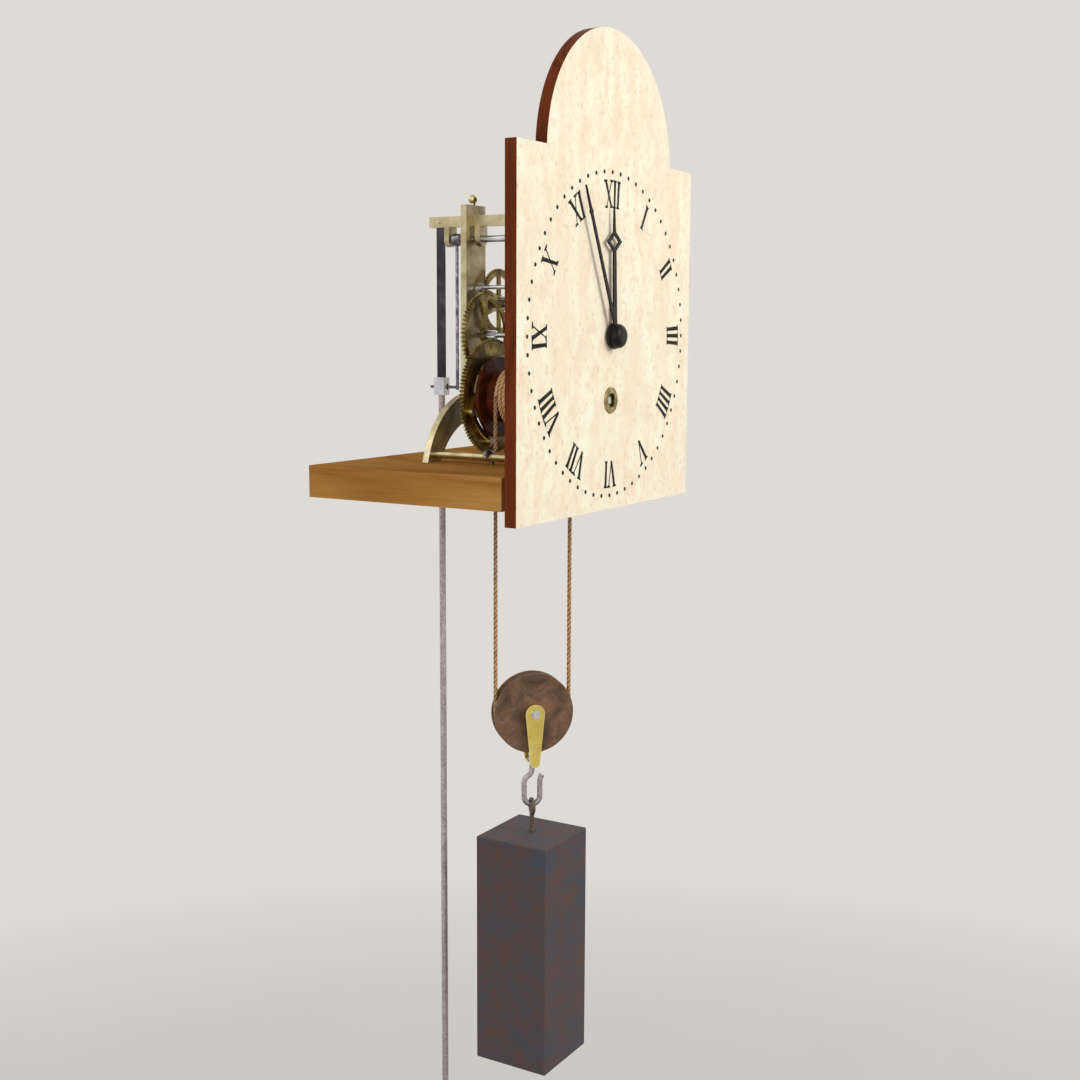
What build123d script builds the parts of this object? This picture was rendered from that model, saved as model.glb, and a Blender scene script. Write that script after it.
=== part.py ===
from build123d import *
import math
import os

# Longcase clock out of its case: dial, one-train eight-day movement, seatboard, weight and pendulum.
# Millimetres, +Z up. The origin is the middle of the seatboard's underside, +Y points to the back.

# Fits
RUN = 0.06        # radial clearance of a pivot in its hole
SEATED = 0.02     # radial clearance of a piece fixed on its arbor
AIR = 0.3         # gap between pieces that pass each other

# Seatboard
SEAT_WIDTH = 304.0
SEAT_DEPTH = 195.0
SEAT_THICK = 27.0
NUT_WELL_R = 10.0
NUT_WELL_DEPTH = 9.0
SEAT_CORNER = 1.5

# Dial
DIAL_WIDTH = 305.0
DIAL_SQUARE = 297.7
DIAL_THICK = 10.6
DIAL_DROP = 12.0          # the dial hangs this far below the seatboard's underside
ARCH_R = 108.0
ARCH_STEP = 4.2           # the arch's centre lies this far below the square's top
DIAL_GAP = 3.4            # dial to the seatboard's front edge
ESCUTCHEON_R = 11.5
ESCUTCHEON_SLEEVE_R = 7.6
ESCUTCHEON_HOLE_R = 6.2
ESCUTCHEON_PROUD = 1.5
ESCUTCHEON_EDGE = 0.8

# Movement frame
PLATE_THICK = 6.0
FRONT_PLATE_DEPTH = 36.0  # its front face, behind the dial's front face
PILLAR_LENGTH = 96.0
BAND_HALF = 15.5
BAND_ABOVE = 29.6         # top of both plates above the pallet arbor
LEG_OUTER_DROP = 19.0     # the leg arcs are struck from below the seatboard's top
LEG_INNER_DROP = 27.0
LEG_CROWN = 4.3           # the legs' arch rises this far over the barrel arbor
LEG_ARCH = 19.7           # and is open to this far under it
LOBE_R = 8.5
PILLAR_R = 3.3
PILLAR_IN = 8.0           # pillars inside the outer edge of the legs
PILLAR_RISE = 6.6
PILLAR_END_R = 2.2
RIVET = 0.8               # pillar ends riveted over, outside the plates
BAR_HALF = 4.0
BAR_TALL = 9.5
BAR_TAIL = 10.0           # suspension bar behind the pendulum
BAR_NOSE = 3.0            # and before the front plate
BAR_GAP_TOP = 9.0         # plate left above the suspension bar
FOOT_R = 3.5
FOOT_PIN_R = 2.0
FOOT_SEAT = 6.0           # dial feet let into the dial
FOOT_END = 1.5

# Going train, from the barrel to the escape wheel
GREAT_CLEAR = 3.4         # great wheel's teeth over the seatboard
GREAT_TEETH = 96
CENTRE_LEAVES = 8
GREAT_MODULE = 1.05
CENTRE_TEETH = 60
THIRD_LEAVES = 8
CENTRE_MODULE = 1.244
THIRD_TEETH = 56
ESCAPE_LEAVES = 7
ESCAPE_PASS = 2.76        # third arbor outside the escape wheel's rim
ESCAPE_RISE = 42.4        # escape arbor above the centre arbor
ESCAPE_TEETH = 30
ESCAPE_R = 30.0
ARBOR_R = 2.2
PIVOT_R = 1.3
GREAT_ARBOR_R = 5.0
WHEEL_THICK = 2.5
GREAT_THICK = 3.5
COLLET_R = 6.0
COLLET_LONG = 5.0
COLLET_EDGE = 1.0
END_SHAKE = 0.5           # arbor shoulders clear of the plates
WHEEL_ARMS = 4
CLICK_ROOM = 1.0          # ratchet to great wheel
GREAT_TO_CENTRE = 4.0     # gaps from wheel to wheel along the train
CENTRE_TO_LAST = 3.0
ESCAPE_BEHIND = 16.0      # escape wheel behind the front plate

# Tooth form: cycloid-like proportions in modules, with the play that clock wheels have
ROOT_CUT = 1.3
WHEEL_ADDENDUM = 1.15
WHEEL_SHARE = 0.44
PINION_CUT = 1.5
PINION_ADDENDUM = 0.45
PINION_SHARE = 0.30

# Barrel and line
DRUM_R = 22.5
DRUM_CLEAR = 4.0          # drum behind the front plate
FLANGE_FORE = 26.0        # flange before the back plate
FLANGE_R = 36.5
FLANGE_THICK = 3.5
LINE_R = 2.0
RATCHET_R = 27.0
RATCHET_TEETH = 20
RATCHET_THICK = 2.5
SQUARE_SIDE = 6.0
SQUARE_FRONT = 0.8        # the winding square ends just inside the dial's hole

# Motion work behind the dial
CANNON_TEETH = 36
HOUR_TEETH = 72
MINUTE_LEAVES = 6
STUD_DISTANCE = 34.0      # minute wheel stud above the centre arbor
STUD_R = 0.8
HOUR_PIPE_R = 4.5
CANNON_PIPE_R = 3.2
CANNON_BORE_R = 1.8
MOTION_THICK = 2.0
MOTION_STEP = 5.0         # from the front plate to each pair of motion wheels

# Hands
HOUR_HAND_LONG = 107.0
MINUTE_HAND_LONG = 134.0
HAND_THICK = 1.4
HAND_HUB_R = 11.0
HOUR_HAND_ANGLE = 2.0     # degrees short of twelve
MINUTE_HAND_ANGLE = 25.0
HOUR_HAND_OUT = 4.6       # front of each hand before the dial
MINUTE_HAND_OUT = 7.0

# Pendulum
PENDULUM_BEHIND = 32.0    # behind the back plate
SPRING_WIDE = 9.5
SPRING_THICK = 0.6
SPRING_SEAT = 4.0         # spring held in the block
SWING_CLEAR = 1.2         # half-width of the slot that the spring hangs in
BLOCK_TALL = 16.0
BLOCK_WIDE = 9.0
BLOCK_DEEP = 12.6
ROD_R = 3.0
PENDULUM_LONG = 994.0     # suspension to the bob's centre: one second a swing
BOB_R = 57.5
BOB_THICK = 28.0
BOB_RIM = 4.0
NUT_R = 9.0
NUT_TALL = 8.0
ROD_TAIL = 25.0           # rod below the rating nut
CRUTCH_BEHIND = 14.5      # crutch rod behind the back plate
CRUTCH_R = 1.5
CRUTCH_PIN_DROP = 132.0   # crutch pin below the pallet arbor
CRUTCH_PLAY = 0.12

# Weight, pulley and hook
WEIGHT_SIDE = 74.0
WEIGHT_TALL = 214.0
WEIGHT_DROP = 317.4       # weight's top below the seatboard's underside
PULLEY_DROP = 203.4       # pulley axle below the seatboard's underside
LINE_FORE = 34.5          # pulley's axle before the barrel's flange
PULLEY_R = 36.8
PULLEY_GROOVE_R = 32.1    # bottom of the groove
PULLEY_THICK = 14.0
AXLE_R = 3.0
STIRRUP_GAP = 0.9         # pulley to each stirrup cheek
STIRRUP_THICK = 3.4
STIRRUP_END_R = 9.0
STIRRUP_WAIST = 9.0
STIRRUP_LONG = 50.0       # axle to the stirrup's underside
HOOK_R = 2.5
HOOK_BEND_R = 7.4
EYE_R = 1.8
EYE_BEND_R = 6.5

# Places that follow from the sizes above. A depth is measured back from the dial's front face.
DIAL_FRONT_Y = -(SEAT_DEPTH / 2 + DIAL_GAP + DIAL_THICK)
SEAT_TOP = SEAT_THICK
BARREL_RISE = GREAT_MODULE * (GREAT_TEETH / 2 + WHEEL_ADDENDUM) + GREAT_CLEAR
BARREL_Z = SEAT_TOP + BARREL_RISE
CENTRE_Z = BARREL_Z + GREAT_MODULE * (GREAT_TEETH + CENTRE_LEAVES) / 2
CENTRE_TO_THIRD = CENTRE_MODULE * (CENTRE_TEETH + THIRD_LEAVES) / 2
THIRD_TO_ESCAPE = ESCAPE_R + ESCAPE_PASS
THIRD_MODULE = 2 * THIRD_TO_ESCAPE / (THIRD_TEETH + ESCAPE_LEAVES)
THIRD_UP = (CENTRE_TO_THIRD**2 - THIRD_TO_ESCAPE**2 + ESCAPE_RISE**2) / (2 * ESCAPE_RISE)
THIRD_X = math.sqrt(CENTRE_TO_THIRD**2 - THIRD_UP**2)
THIRD_Z = CENTRE_Z + THIRD_UP
ESCAPE_Z = CENTRE_Z + ESCAPE_RISE
PALLET_Z = ESCAPE_Z + math.sqrt(2) * ESCAPE_R
PLATE_TOP = PALLET_Z + BAND_ABOVE
BAR_TOP = PLATE_TOP - BAR_GAP_TOP
BAR_BOTTOM = BAR_TOP - BAR_TALL
FRONT_INSIDE = FRONT_PLATE_DEPTH + PLATE_THICK
BACK_INSIDE = FRONT_INSIDE + PILLAR_LENGTH
BACK_OUTSIDE = BACK_INSIDE + PLATE_THICK
LEG_OUTER_R = BARREL_RISE + LEG_CROWN + LEG_OUTER_DROP
LEG_INNER_R = BARREL_RISE - LEG_ARCH + LEG_INNER_DROP
PILLAR_X = math.sqrt(LEG_OUTER_R**2 - (LEG_OUTER_DROP + PILLAR_RISE) ** 2) - PILLAR_IN
DRUM_FRONT = FRONT_INSIDE + DRUM_CLEAR
FLANGE_DEPTH = BACK_INSIDE - FLANGE_FORE
LINE_MIDDLE = FLANGE_DEPTH - LINE_FORE
PENDULUM_DEPTH = BACK_OUTSIDE + PENDULUM_BEHIND
BAR_REAR = PENDULUM_DEPTH + BAR_TAIL
CRUTCH_DEPTH = BACK_OUTSIDE + CRUTCH_BEHIND
RATCHET_DEPTH = FLANGE_DEPTH + FLANGE_THICK
GREAT_DEPTH = RATCHET_DEPTH + RATCHET_THICK + CLICK_ROOM
CENTRE_DEPTH = GREAT_DEPTH + GREAT_THICK + GREAT_TO_CENTRE
THIRD_DEPTH = CENTRE_DEPTH + WHEEL_THICK + CENTRE_TO_LAST
ESCAPE_DEPTH = FRONT_INSIDE + ESCAPE_BEHIND
STUD_Z = CENTRE_Z + STUD_DISTANCE
CANNON_DEPTH = FRONT_PLATE_DEPTH - MOTION_STEP
HOUR_DEPTH = CANNON_DEPTH - MOTION_STEP
LINE_X = DRUM_R + AIR + LINE_R
PULLEY_LINE_R = PULLEY_GROOVE_R + AIR + LINE_R
LINE_SPREAD = math.sqrt(PULLEY_LINE_R**2 - LINE_X**2)
PIVOT_Z = (BAR_BOTTOM + BAR_TOP) / 2
PIVOT_FRONT = FRONT_PLATE_DEPTH + END_SHAKE
PIVOT_BACK = BACK_OUTSIDE - END_SHAKE
SHOULDER_FRONT = FRONT_INSIDE + END_SHAKE
SHOULDER_BACK = BACK_INSIDE - END_SHAKE

os.makedirs("parts", exist_ok=True)


def upright(depth, x=0, z=0):
    """Plane facing the front, with its origin at x and z, this far behind the dial's front face."""
    return Plane(origin=(x, DIAL_FRONT_Y + depth, z), x_dir=(1, 0, 0), z_dir=(0, -1, 0))


def level(z, x=0, depth=0):
    """Plane facing up at height z, with its origin at x and this far behind the dial's front face."""
    return Plane(origin=(x, DIAL_FRONT_Y + depth, z), x_dir=(1, 0, 0), z_dir=(0, 0, 1))


def turned(x, z, *steps):
    """Adds round steps, each (front depth, back depth, radius), along an arbor at x and z."""
    for front, back, radius in steps:
        with BuildSketch(upright(back, x, z)) as step:
            Circle(radius)
        extrude(step.sketch, amount=back - front)


def bored(x, z, front, back, radius):
    """Cuts a round hole from the front depth to the back depth at x and z."""
    with BuildSketch(upright(back, x, z)) as bore:
        Circle(radius)
    extrude(bore.sketch, amount=back - front, mode=Mode.SUBTRACT)


def tooth_points(teeth, root, shoulder, tip, share, phase):
    """Outline of a wheel or pinion: radial flanks up to a shoulder and a pointed tip.

    The first tooth points at the phase angle, clockwise from straight up."""
    half = share * math.pi / teeth
    points = []
    for tooth in range(teeth):
        middle = phase + 2 * math.pi * tooth / teeth
        for radius, angle in (
            (root, -half),
            (shoulder, -half),
            (tip, 0),
            (shoulder, half),
            (root, half),
        ):
            points.append(
                (radius * math.sin(middle + angle), radius * math.cos(middle + angle))
            )
    return points


# Seatboard: pine board with a slot for the pendulum, a slot for the line, and wells for the nuts
PENDULUM_SLOT = 36.0
PENDULUM_SLOT_DEEP = 14.0
LINE_SLOT = 12.0
HOOK_BACK = 40.0          # hook bolts behind the front plate
HOOK_DEPTH = FRONT_INSIDE + HOOK_BACK
HOOK_WIRE_R = 2.0
HOOK_X = PILLAR_X - PILLAR_R - HOOK_WIRE_R - SEATED
FIXED_LINE_DEPTH = LINE_MIDDLE - LINE_SPREAD
with BuildPart() as seatboard:
    with BuildSketch(Plane.XY):
        Rectangle(SEAT_WIDTH, SEAT_DEPTH)
    extrude(amount=SEAT_THICK)
    with BuildSketch(level(0, 0, PENDULUM_DEPTH)):
        SlotOverall(PENDULUM_SLOT, PENDULUM_SLOT_DEEP)
    extrude(amount=SEAT_THICK, mode=Mode.SUBTRACT)
    with BuildSketch(level(0, -LINE_X, (DRUM_FRONT + FLANGE_DEPTH) / 2)):
        SlotOverall(FLANGE_DEPTH - DRUM_FRONT, LINE_SLOT, rotation=90)
    extrude(amount=SEAT_THICK, mode=Mode.SUBTRACT)
    with BuildSketch(level(0, LINE_X, FIXED_LINE_DEPTH)):
        Circle(LINE_R + AIR)
    extrude(amount=SEAT_THICK, mode=Mode.SUBTRACT)
    for side in (-1, 1):
        with BuildSketch(level(0, side * HOOK_X, HOOK_DEPTH)):
            Circle(HOOK_WIRE_R + AIR)
        extrude(amount=SEAT_THICK, mode=Mode.SUBTRACT)
        with BuildSketch(level(0, side * HOOK_X, HOOK_DEPTH)):
            Circle(NUT_WELL_R)
        extrude(amount=NUT_WELL_DEPTH, mode=Mode.SUBTRACT)
    rear_corners = seatboard.edges().filter_by(Axis.Z).group_by(Axis.Y)[-1]
    chamfer(rear_corners, length=SEAT_CORNER)
seatboard.part.label = "seatboard"
export_step(seatboard.part, "parts/seatboard.step")

# Dial: break-arch wooden board, bored for the hour pipe and for the winding-hole ring
DIAL_BOTTOM = -DIAL_DROP
ARCH_Z = DIAL_BOTTOM + DIAL_SQUARE - ARCH_STEP
with BuildPart() as dial:
    with BuildSketch(upright(DIAL_THICK)):
        with Locations((0, DIAL_BOTTOM + DIAL_SQUARE / 2)):
            Rectangle(DIAL_WIDTH, DIAL_SQUARE)
        with Locations((0, ARCH_Z)):
            Circle(ARCH_R)
        with Locations((0, CENTRE_Z)):
            Circle(HOUR_PIPE_R + AIR, mode=Mode.SUBTRACT)
        with Locations((0, BARREL_Z)):
            Circle(ESCUTCHEON_SLEEVE_R + SEATED, mode=Mode.SUBTRACT)
    extrude(amount=DIAL_THICK)
    FOOT_PLACES = [
        (side * (LEG_OUTER_R + LEG_INNER_R) / 2 * math.sin(math.pi / 4),
         SEAT_TOP - (LEG_OUTER_DROP + LEG_INNER_DROP) / 2
         + (LEG_OUTER_R + LEG_INNER_R) / 2 * math.cos(math.pi / 4))
        for side in (-1, 1)
    ] + [(0, (ESCAPE_Z + PALLET_Z) / 2)]
    for x, z in FOOT_PLACES:
        bored(x, z, DIAL_THICK - FOOT_SEAT, DIAL_THICK, FOOT_PIN_R + SEATED)
dial.part.label = "dial"
export_step(dial.part, "parts/dial.step")

# Winding-hole ring: turned brass, its sleeve pressed into the dial
with BuildPart() as winding_ring:
    turned(0, BARREL_Z, (-ESCUTCHEON_PROUD, 0, ESCUTCHEON_R), (0, DIAL_THICK, ESCUTCHEON_SLEEVE_R))
    rim = winding_ring.edges().group_by(Axis.Y)[0].sort_by(SortBy.RADIUS)[-1]
    chamfer(rim, length=ESCUTCHEON_EDGE)
    bored(0, BARREL_Z, -ESCUTCHEON_PROUD, DIAL_THICK, ESCUTCHEON_HOLE_R)
winding_ring.part.label = "winding_ring"
export_step(winding_ring.part, "parts/winding_ring.step")


def plate_outline(depth):
    """Inverted-Y plate: an arched pair of legs, an upright band and a lobe for the third arbor."""
    with BuildSketch(upright(depth)) as outline:
        with Locations((0, SEAT_TOP - LEG_OUTER_DROP)):
            Circle(LEG_OUTER_R)
        with Locations((0, SEAT_TOP - LEG_INNER_DROP)):
            Circle(LEG_INNER_R, mode=Mode.SUBTRACT)
        with Locations((0, SEAT_TOP)):
            below = (Align.CENTER, Align.MAX)
            Rectangle(3 * LEG_OUTER_R, 2 * LEG_OUTER_R, align=below, mode=Mode.SUBTRACT)
        with Locations((0, BARREL_Z)):
            Rectangle(2 * BAND_HALF, PLATE_TOP - BARREL_Z, align=(Align.CENTER, Align.MIN))
        Polygon(
            (0, THIRD_Z - 2 * LOBE_R),
            (THIRD_X, THIRD_Z - LOBE_R),
            (THIRD_X, THIRD_Z + LOBE_R),
            (0, THIRD_Z + 2 * LOBE_R),
            align=None,
        )
        with Locations((THIRD_X, THIRD_Z)):
            Circle(LOBE_R)
    return outline.sketch


def bar_hole(front, back):
    """Cuts the oblong hole that the suspension bar sits in."""
    with BuildSketch(upright(back, 0, (BAR_BOTTOM + BAR_TOP) / 2)) as hole:
        Rectangle(2 * (BAR_HALF + SEATED), BAR_TALL + 2 * SEATED)
    extrude(hole.sketch, amount=back - front, mode=Mode.SUBTRACT)


PILLAR_Z = SEAT_TOP + PILLAR_RISE
PALLET_ARBOR_R = 3.0
CENTRE_ARBOR_R = 3.0
FINIAL_PIN_R = 1.6
FINIAL_PIN_LONG = 6.0
BARREL_PIVOT_R = 3.0
PALLET_PASS = 1.5         # pallet arbor clear of its way through the back plate
FINIAL_DEPTH = BACK_INSIDE + PLATE_THICK / 2

# Front plate: brass, with the pivot holes, the dial feet holes and the motion-work stud's hole
with BuildPart() as front_plate:
    extrude(plate_outline(FRONT_INSIDE), amount=PLATE_THICK)
    for side in (-1, 1):
        bored(side * PILLAR_X, PILLAR_Z, FRONT_PLATE_DEPTH, FRONT_INSIDE, PILLAR_END_R + SEATED)
    for x, z in FOOT_PLACES:
        bored(x, z, FRONT_PLATE_DEPTH, FRONT_INSIDE, FOOT_PIN_R + SEATED)
    bored(0, STUD_Z, FRONT_PLATE_DEPTH, FRONT_INSIDE, STUD_R + SEATED)
    bored(0, BARREL_Z, FRONT_PLATE_DEPTH, FRONT_INSIDE, GREAT_ARBOR_R + RUN)
    bored(0, CENTRE_Z, FRONT_PLATE_DEPTH, FRONT_INSIDE, CENTRE_ARBOR_R + RUN)
    for x, z in ((THIRD_X, THIRD_Z), (0, ESCAPE_Z), (0, PALLET_Z)):
        bored(x, z, FRONT_PLATE_DEPTH, FRONT_INSIDE, PIVOT_R + RUN)
    bar_hole(FRONT_PLATE_DEPTH, FRONT_INSIDE)
front_plate.part.label = "front_plate"
export_step(front_plate.part, "parts/front_plate.step")

# Back plate: the same outline, with a way through for the pallet arbor and a hole for the finial
with BuildPart() as back_plate:
    extrude(plate_outline(BACK_OUTSIDE), amount=PLATE_THICK)
    for side in (-1, 1):
        bored(side * PILLAR_X, PILLAR_Z, BACK_INSIDE, BACK_OUTSIDE, PILLAR_END_R + SEATED)
    bored(0, BARREL_Z, BACK_INSIDE, BACK_OUTSIDE, BARREL_PIVOT_R + RUN)
    for x, z in ((0, CENTRE_Z), (THIRD_X, THIRD_Z), (0, ESCAPE_Z)):
        bored(x, z, BACK_INSIDE, BACK_OUTSIDE, PIVOT_R + RUN)
    bored(0, PALLET_Z, BACK_INSIDE, BACK_OUTSIDE, PALLET_ARBOR_R + PALLET_PASS)
    bar_hole(BACK_INSIDE, BACK_OUTSIDE)
    with BuildSketch(level(PLATE_TOP, 0, FINIAL_DEPTH)):
        Circle(FINIAL_PIN_R + SEATED)
    extrude(amount=-FINIAL_PIN_LONG, mode=Mode.SUBTRACT)
back_plate.part.label = "back_plate"
export_step(back_plate.part, "parts/back_plate.step")

# Bottom pillars: two brass rods shouldered into the plates and riveted over
with BuildPart() as bottom_pillars:
    for side in (-1, 1):
        turned(
            side * PILLAR_X,
            PILLAR_Z,
            (FRONT_PLATE_DEPTH - RIVET, FRONT_INSIDE, PILLAR_END_R),
            (FRONT_INSIDE, BACK_INSIDE, PILLAR_R),
            (BACK_INSIDE, BACK_OUTSIDE + RIVET, PILLAR_END_R),
        )
bottom_pillars.part.label = "bottom_pillars"
export_step(bottom_pillars.part, "parts/bottom_pillars.step")



def across_bar(left):
    """Plane facing right through the pendulum's pivot, starting this far to the left of it."""
    return Plane(origin=(-left, DIAL_FRONT_Y + PENDULUM_DEPTH, PIVOT_Z), z_dir=(1, 0, 0))


# Suspension bar: square brass bar through both plates, slotted at its rear end for the spring
BAR_FRONT = FRONT_PLATE_DEPTH - BAR_NOSE
SPRING_SLOT = SPRING_WIDE + 2 * AIR
SUSPENSION_PIN_R = 1.0
with BuildPart() as suspension_bar:
    with BuildSketch(upright(BAR_REAR, 0, (BAR_BOTTOM + BAR_TOP) / 2)):
        Rectangle(2 * BAR_HALF, BAR_TALL)
    extrude(amount=BAR_REAR - BAR_FRONT)
    with BuildSketch(level(BAR_BOTTOM, 0, PENDULUM_DEPTH)):
        Rectangle(2 * SWING_CLEAR, SPRING_SLOT)
    extrude(amount=BAR_TALL, mode=Mode.SUBTRACT)
    with BuildSketch(across_bar(BAR_HALF)):
        Circle(SUSPENSION_PIN_R + SEATED)
    extrude(amount=2 * BAR_HALF, mode=Mode.SUBTRACT)
suspension_bar.part.label = "suspension_bar"
export_step(suspension_bar.part, "parts/suspension_bar.step")

# Suspension pin: steel cross pin that the pendulum's spring hangs from
PIN_PROUD = 1.5
with BuildPart() as suspension_pin:
    with BuildSketch(across_bar(BAR_HALF + PIN_PROUD)):
        Circle(SUSPENSION_PIN_R)
    extrude(amount=2 * (BAR_HALF + PIN_PROUD))
suspension_pin.part.label = "suspension_pin"
export_step(suspension_pin.part, "parts/suspension_pin.step")

# Pallet cocks: two brass tongues hung from the bar, which carry the pallet arbor
COCK_HALF = 6.5
COCK_THICK = 5.0
FRONT_COCK_FORE = 8.0     # front cock before the inside of the back plate
REAR_COCK_BEHIND = 19.0   # rear cock behind its outside
FRONT_COCK_DEPTH = BACK_INSIDE - FRONT_COCK_FORE
REAR_COCK_DEPTH = BACK_OUTSIDE + REAR_COCK_BEHIND
PALLET_REAR_R = 1.75
with BuildPart() as pallet_cocks:
    for depth, bore in ((FRONT_COCK_DEPTH, PALLET_ARBOR_R), (REAR_COCK_DEPTH, PALLET_REAR_R)):
        with BuildSketch(upright(depth + COCK_THICK)):
            with Locations((0, PALLET_Z)):
                Circle(COCK_HALF)
                Rectangle(2 * COCK_HALF, BAR_BOTTOM - PALLET_Z, align=(Align.CENTER, Align.MIN))
                Circle(bore + RUN, mode=Mode.SUBTRACT)
        extrude(amount=COCK_THICK)
pallet_cocks.part.label = "pallet_cocks"
export_step(pallet_cocks.part, "parts/pallet_cocks.step")

# Finial: small turned brass knob on the back plate
FINIAL_R = 4.2
FINIAL_NECK_R = 2.4
FINIAL_TALL = 9.5
FINIAL_TAPER = 6
FINIAL_HOLE_END = 1.0     # hole deeper than the pin
with BuildPart() as finial:
    with BuildSketch(level(PLATE_TOP, 0, FINIAL_DEPTH)):
        Circle(FINIAL_PIN_R)
    extrude(amount=FINIAL_HOLE_END - FINIAL_PIN_LONG)
    with BuildSketch(level(PLATE_TOP, 0, FINIAL_DEPTH)):
        Circle(FINIAL_NECK_R)
    extrude(amount=FINIAL_TALL - FINIAL_R, taper=FINIAL_TAPER)
    with Locations((0, DIAL_FRONT_Y + FINIAL_DEPTH, PLATE_TOP + FINIAL_TALL - FINIAL_R)):
        Sphere(FINIAL_R)
finial.part.label = "finial"
export_step(finial.part, "parts/finial.step")

# Dial feet: three brass posts pinned into the dial and the front plate
with BuildPart() as dial_feet:
    for x, z in FOOT_PLACES:
        turned(
            x,
            z,
            (DIAL_THICK - FOOT_SEAT, DIAL_THICK, FOOT_PIN_R),
            (DIAL_THICK, FRONT_PLATE_DEPTH, FOOT_R),
            (FRONT_PLATE_DEPTH, FRONT_INSIDE + FOOT_END, FOOT_PIN_R),
        )
dial_feet.part.label = "dial_feet"
export_step(dial_feet.part, "parts/dial_feet.step")

# Seatboard hooks: steel J bolts over the bottom pillars, pulled down by a nut under the board
HOOK_TURN_R = PILLAR_X - HOOK_X
HOOK_SHORT = 0.5          # bolt ends above the board's underside
with BuildPart() as seatboard_hooks:
    for side in (-1, 1):
        shank = Plane(
            origin=(side * HOOK_X, DIAL_FRONT_Y + HOOK_DEPTH, 0), x_dir=(side, 0, 0), z_dir=(0, -side, 0)
        )
        with BuildLine(shank) as bend:
            Line((0, HOOK_SHORT), (0, PILLAR_Z))
            ThreePointArc(
                (0, PILLAR_Z), (HOOK_TURN_R, PILLAR_Z + HOOK_TURN_R), (2 * HOOK_TURN_R, PILLAR_Z)
            )
        with BuildSketch(Plane(origin=bend.line @ 0, z_dir=bend.line % 0)):
            Circle(HOOK_WIRE_R)
        sweep(path=bend.line)
seatboard_hooks.part.label = "seatboard_hooks"
export_step(seatboard_hooks.part, "parts/seatboard_hooks.step")

# Hook nuts: square iron nuts up in the board's wells
NUT_SIDE = 12.0
HOOK_NUT_TALL = 5.0
with BuildPart() as hook_nuts:
    for side in (-1, 1):
        with BuildSketch(level(NUT_WELL_DEPTH - HOOK_NUT_TALL, side * HOOK_X, HOOK_DEPTH)):
            Rectangle(NUT_SIDE, NUT_SIDE)
            Circle(HOOK_WIRE_R + SEATED, mode=Mode.SUBTRACT)
        extrude(amount=HOOK_NUT_TALL)
hook_nuts.part.label = "hook_nuts"
export_step(hook_nuts.part, "parts/hook_nuts.step")

# Minute wheel stud: steel pin in the front plate, with a head before the minute pinion
STUD_FORE = 4.0           # stud before the hour wheel
STUD_FRONT = HOUR_DEPTH - STUD_FORE
STUD_HEAD = 1.0
STUD_HEAD_R = 2.2
with BuildPart() as minute_stud:
    turned(
        0,
        STUD_Z,
        (STUD_FRONT - STUD_HEAD, STUD_FRONT, STUD_HEAD_R),
        (STUD_FRONT, FRONT_INSIDE, STUD_R),
    )
minute_stud.part.label = "minute_stud"
export_step(minute_stud.part, "parts/minute_stud.step")

# Barrel: wooden drum and flange on the winding arbor, with the wound part of the line
DRUM_LIP_R = 27.5
DRUM_LIP = 3.0
DRUM_EDGE = 0.8
with BuildPart() as barrel_drum:
    turned(
        0,
        BARREL_Z,
        (DRUM_FRONT, DRUM_FRONT + DRUM_LIP, DRUM_LIP_R),
        (DRUM_FRONT + DRUM_LIP, FLANGE_DEPTH, DRUM_R),
        (FLANGE_DEPTH, FLANGE_DEPTH + FLANGE_THICK, FLANGE_R),
    )
    bored(0, BARREL_Z, DRUM_FRONT, FLANGE_DEPTH + FLANGE_THICK, GREAT_ARBOR_R + SEATED)
    flange_rims = barrel_drum.edges().filter_by(GeomType.CIRCLE).sort_by(SortBy.RADIUS)[-2:]
    chamfer(flange_rims, length=DRUM_EDGE)
barrel_drum.part.label = "barrel_drum"
export_step(barrel_drum.part, "parts/barrel_drum.step")

# Wound line: the turns still on the drum, one closed sleeve of their outer shape
WOUND_FRONT = DRUM_FRONT + DRUM_LIP + AIR
WOUND_BACK = LINE_MIDDLE + LINE_SPREAD - LINE_R - AIR
with BuildPart() as wound_line:
    turned(0, BARREL_Z, (WOUND_FRONT, WOUND_BACK, DRUM_R + 2 * LINE_R))
    bored(0, BARREL_Z, WOUND_FRONT, WOUND_BACK, DRUM_R + SEATED)
wound_line.part.label = "wound_line"
export_step(wound_line.part, "parts/wound_line.step")

# Winding arbor: steel, squared at its front end for the key
SQUARE_LONG = 24.0
KEY_GROOVE_DEPTH = GREAT_DEPTH + GREAT_THICK + AIR
WASHER_THICK = 1.6
ARBOR_STEP = KEY_GROOVE_DEPTH + WASHER_THICK + AIR
with BuildPart() as winding_arbor:
    turned(
        0,
        BARREL_Z,
        (SQUARE_FRONT + SQUARE_LONG, ARBOR_STEP, GREAT_ARBOR_R),
        (ARBOR_STEP, PIVOT_BACK, BARREL_PIVOT_R),
    )
    with BuildSketch(upright(SQUARE_FRONT + SQUARE_LONG, 0, BARREL_Z)):
        Rectangle(SQUARE_SIDE, SQUARE_SIDE)
    extrude(amount=SQUARE_LONG)
winding_arbor.part.label = "winding_arbor"
export_step(winding_arbor.part, "parts/winding_arbor.step")

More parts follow.
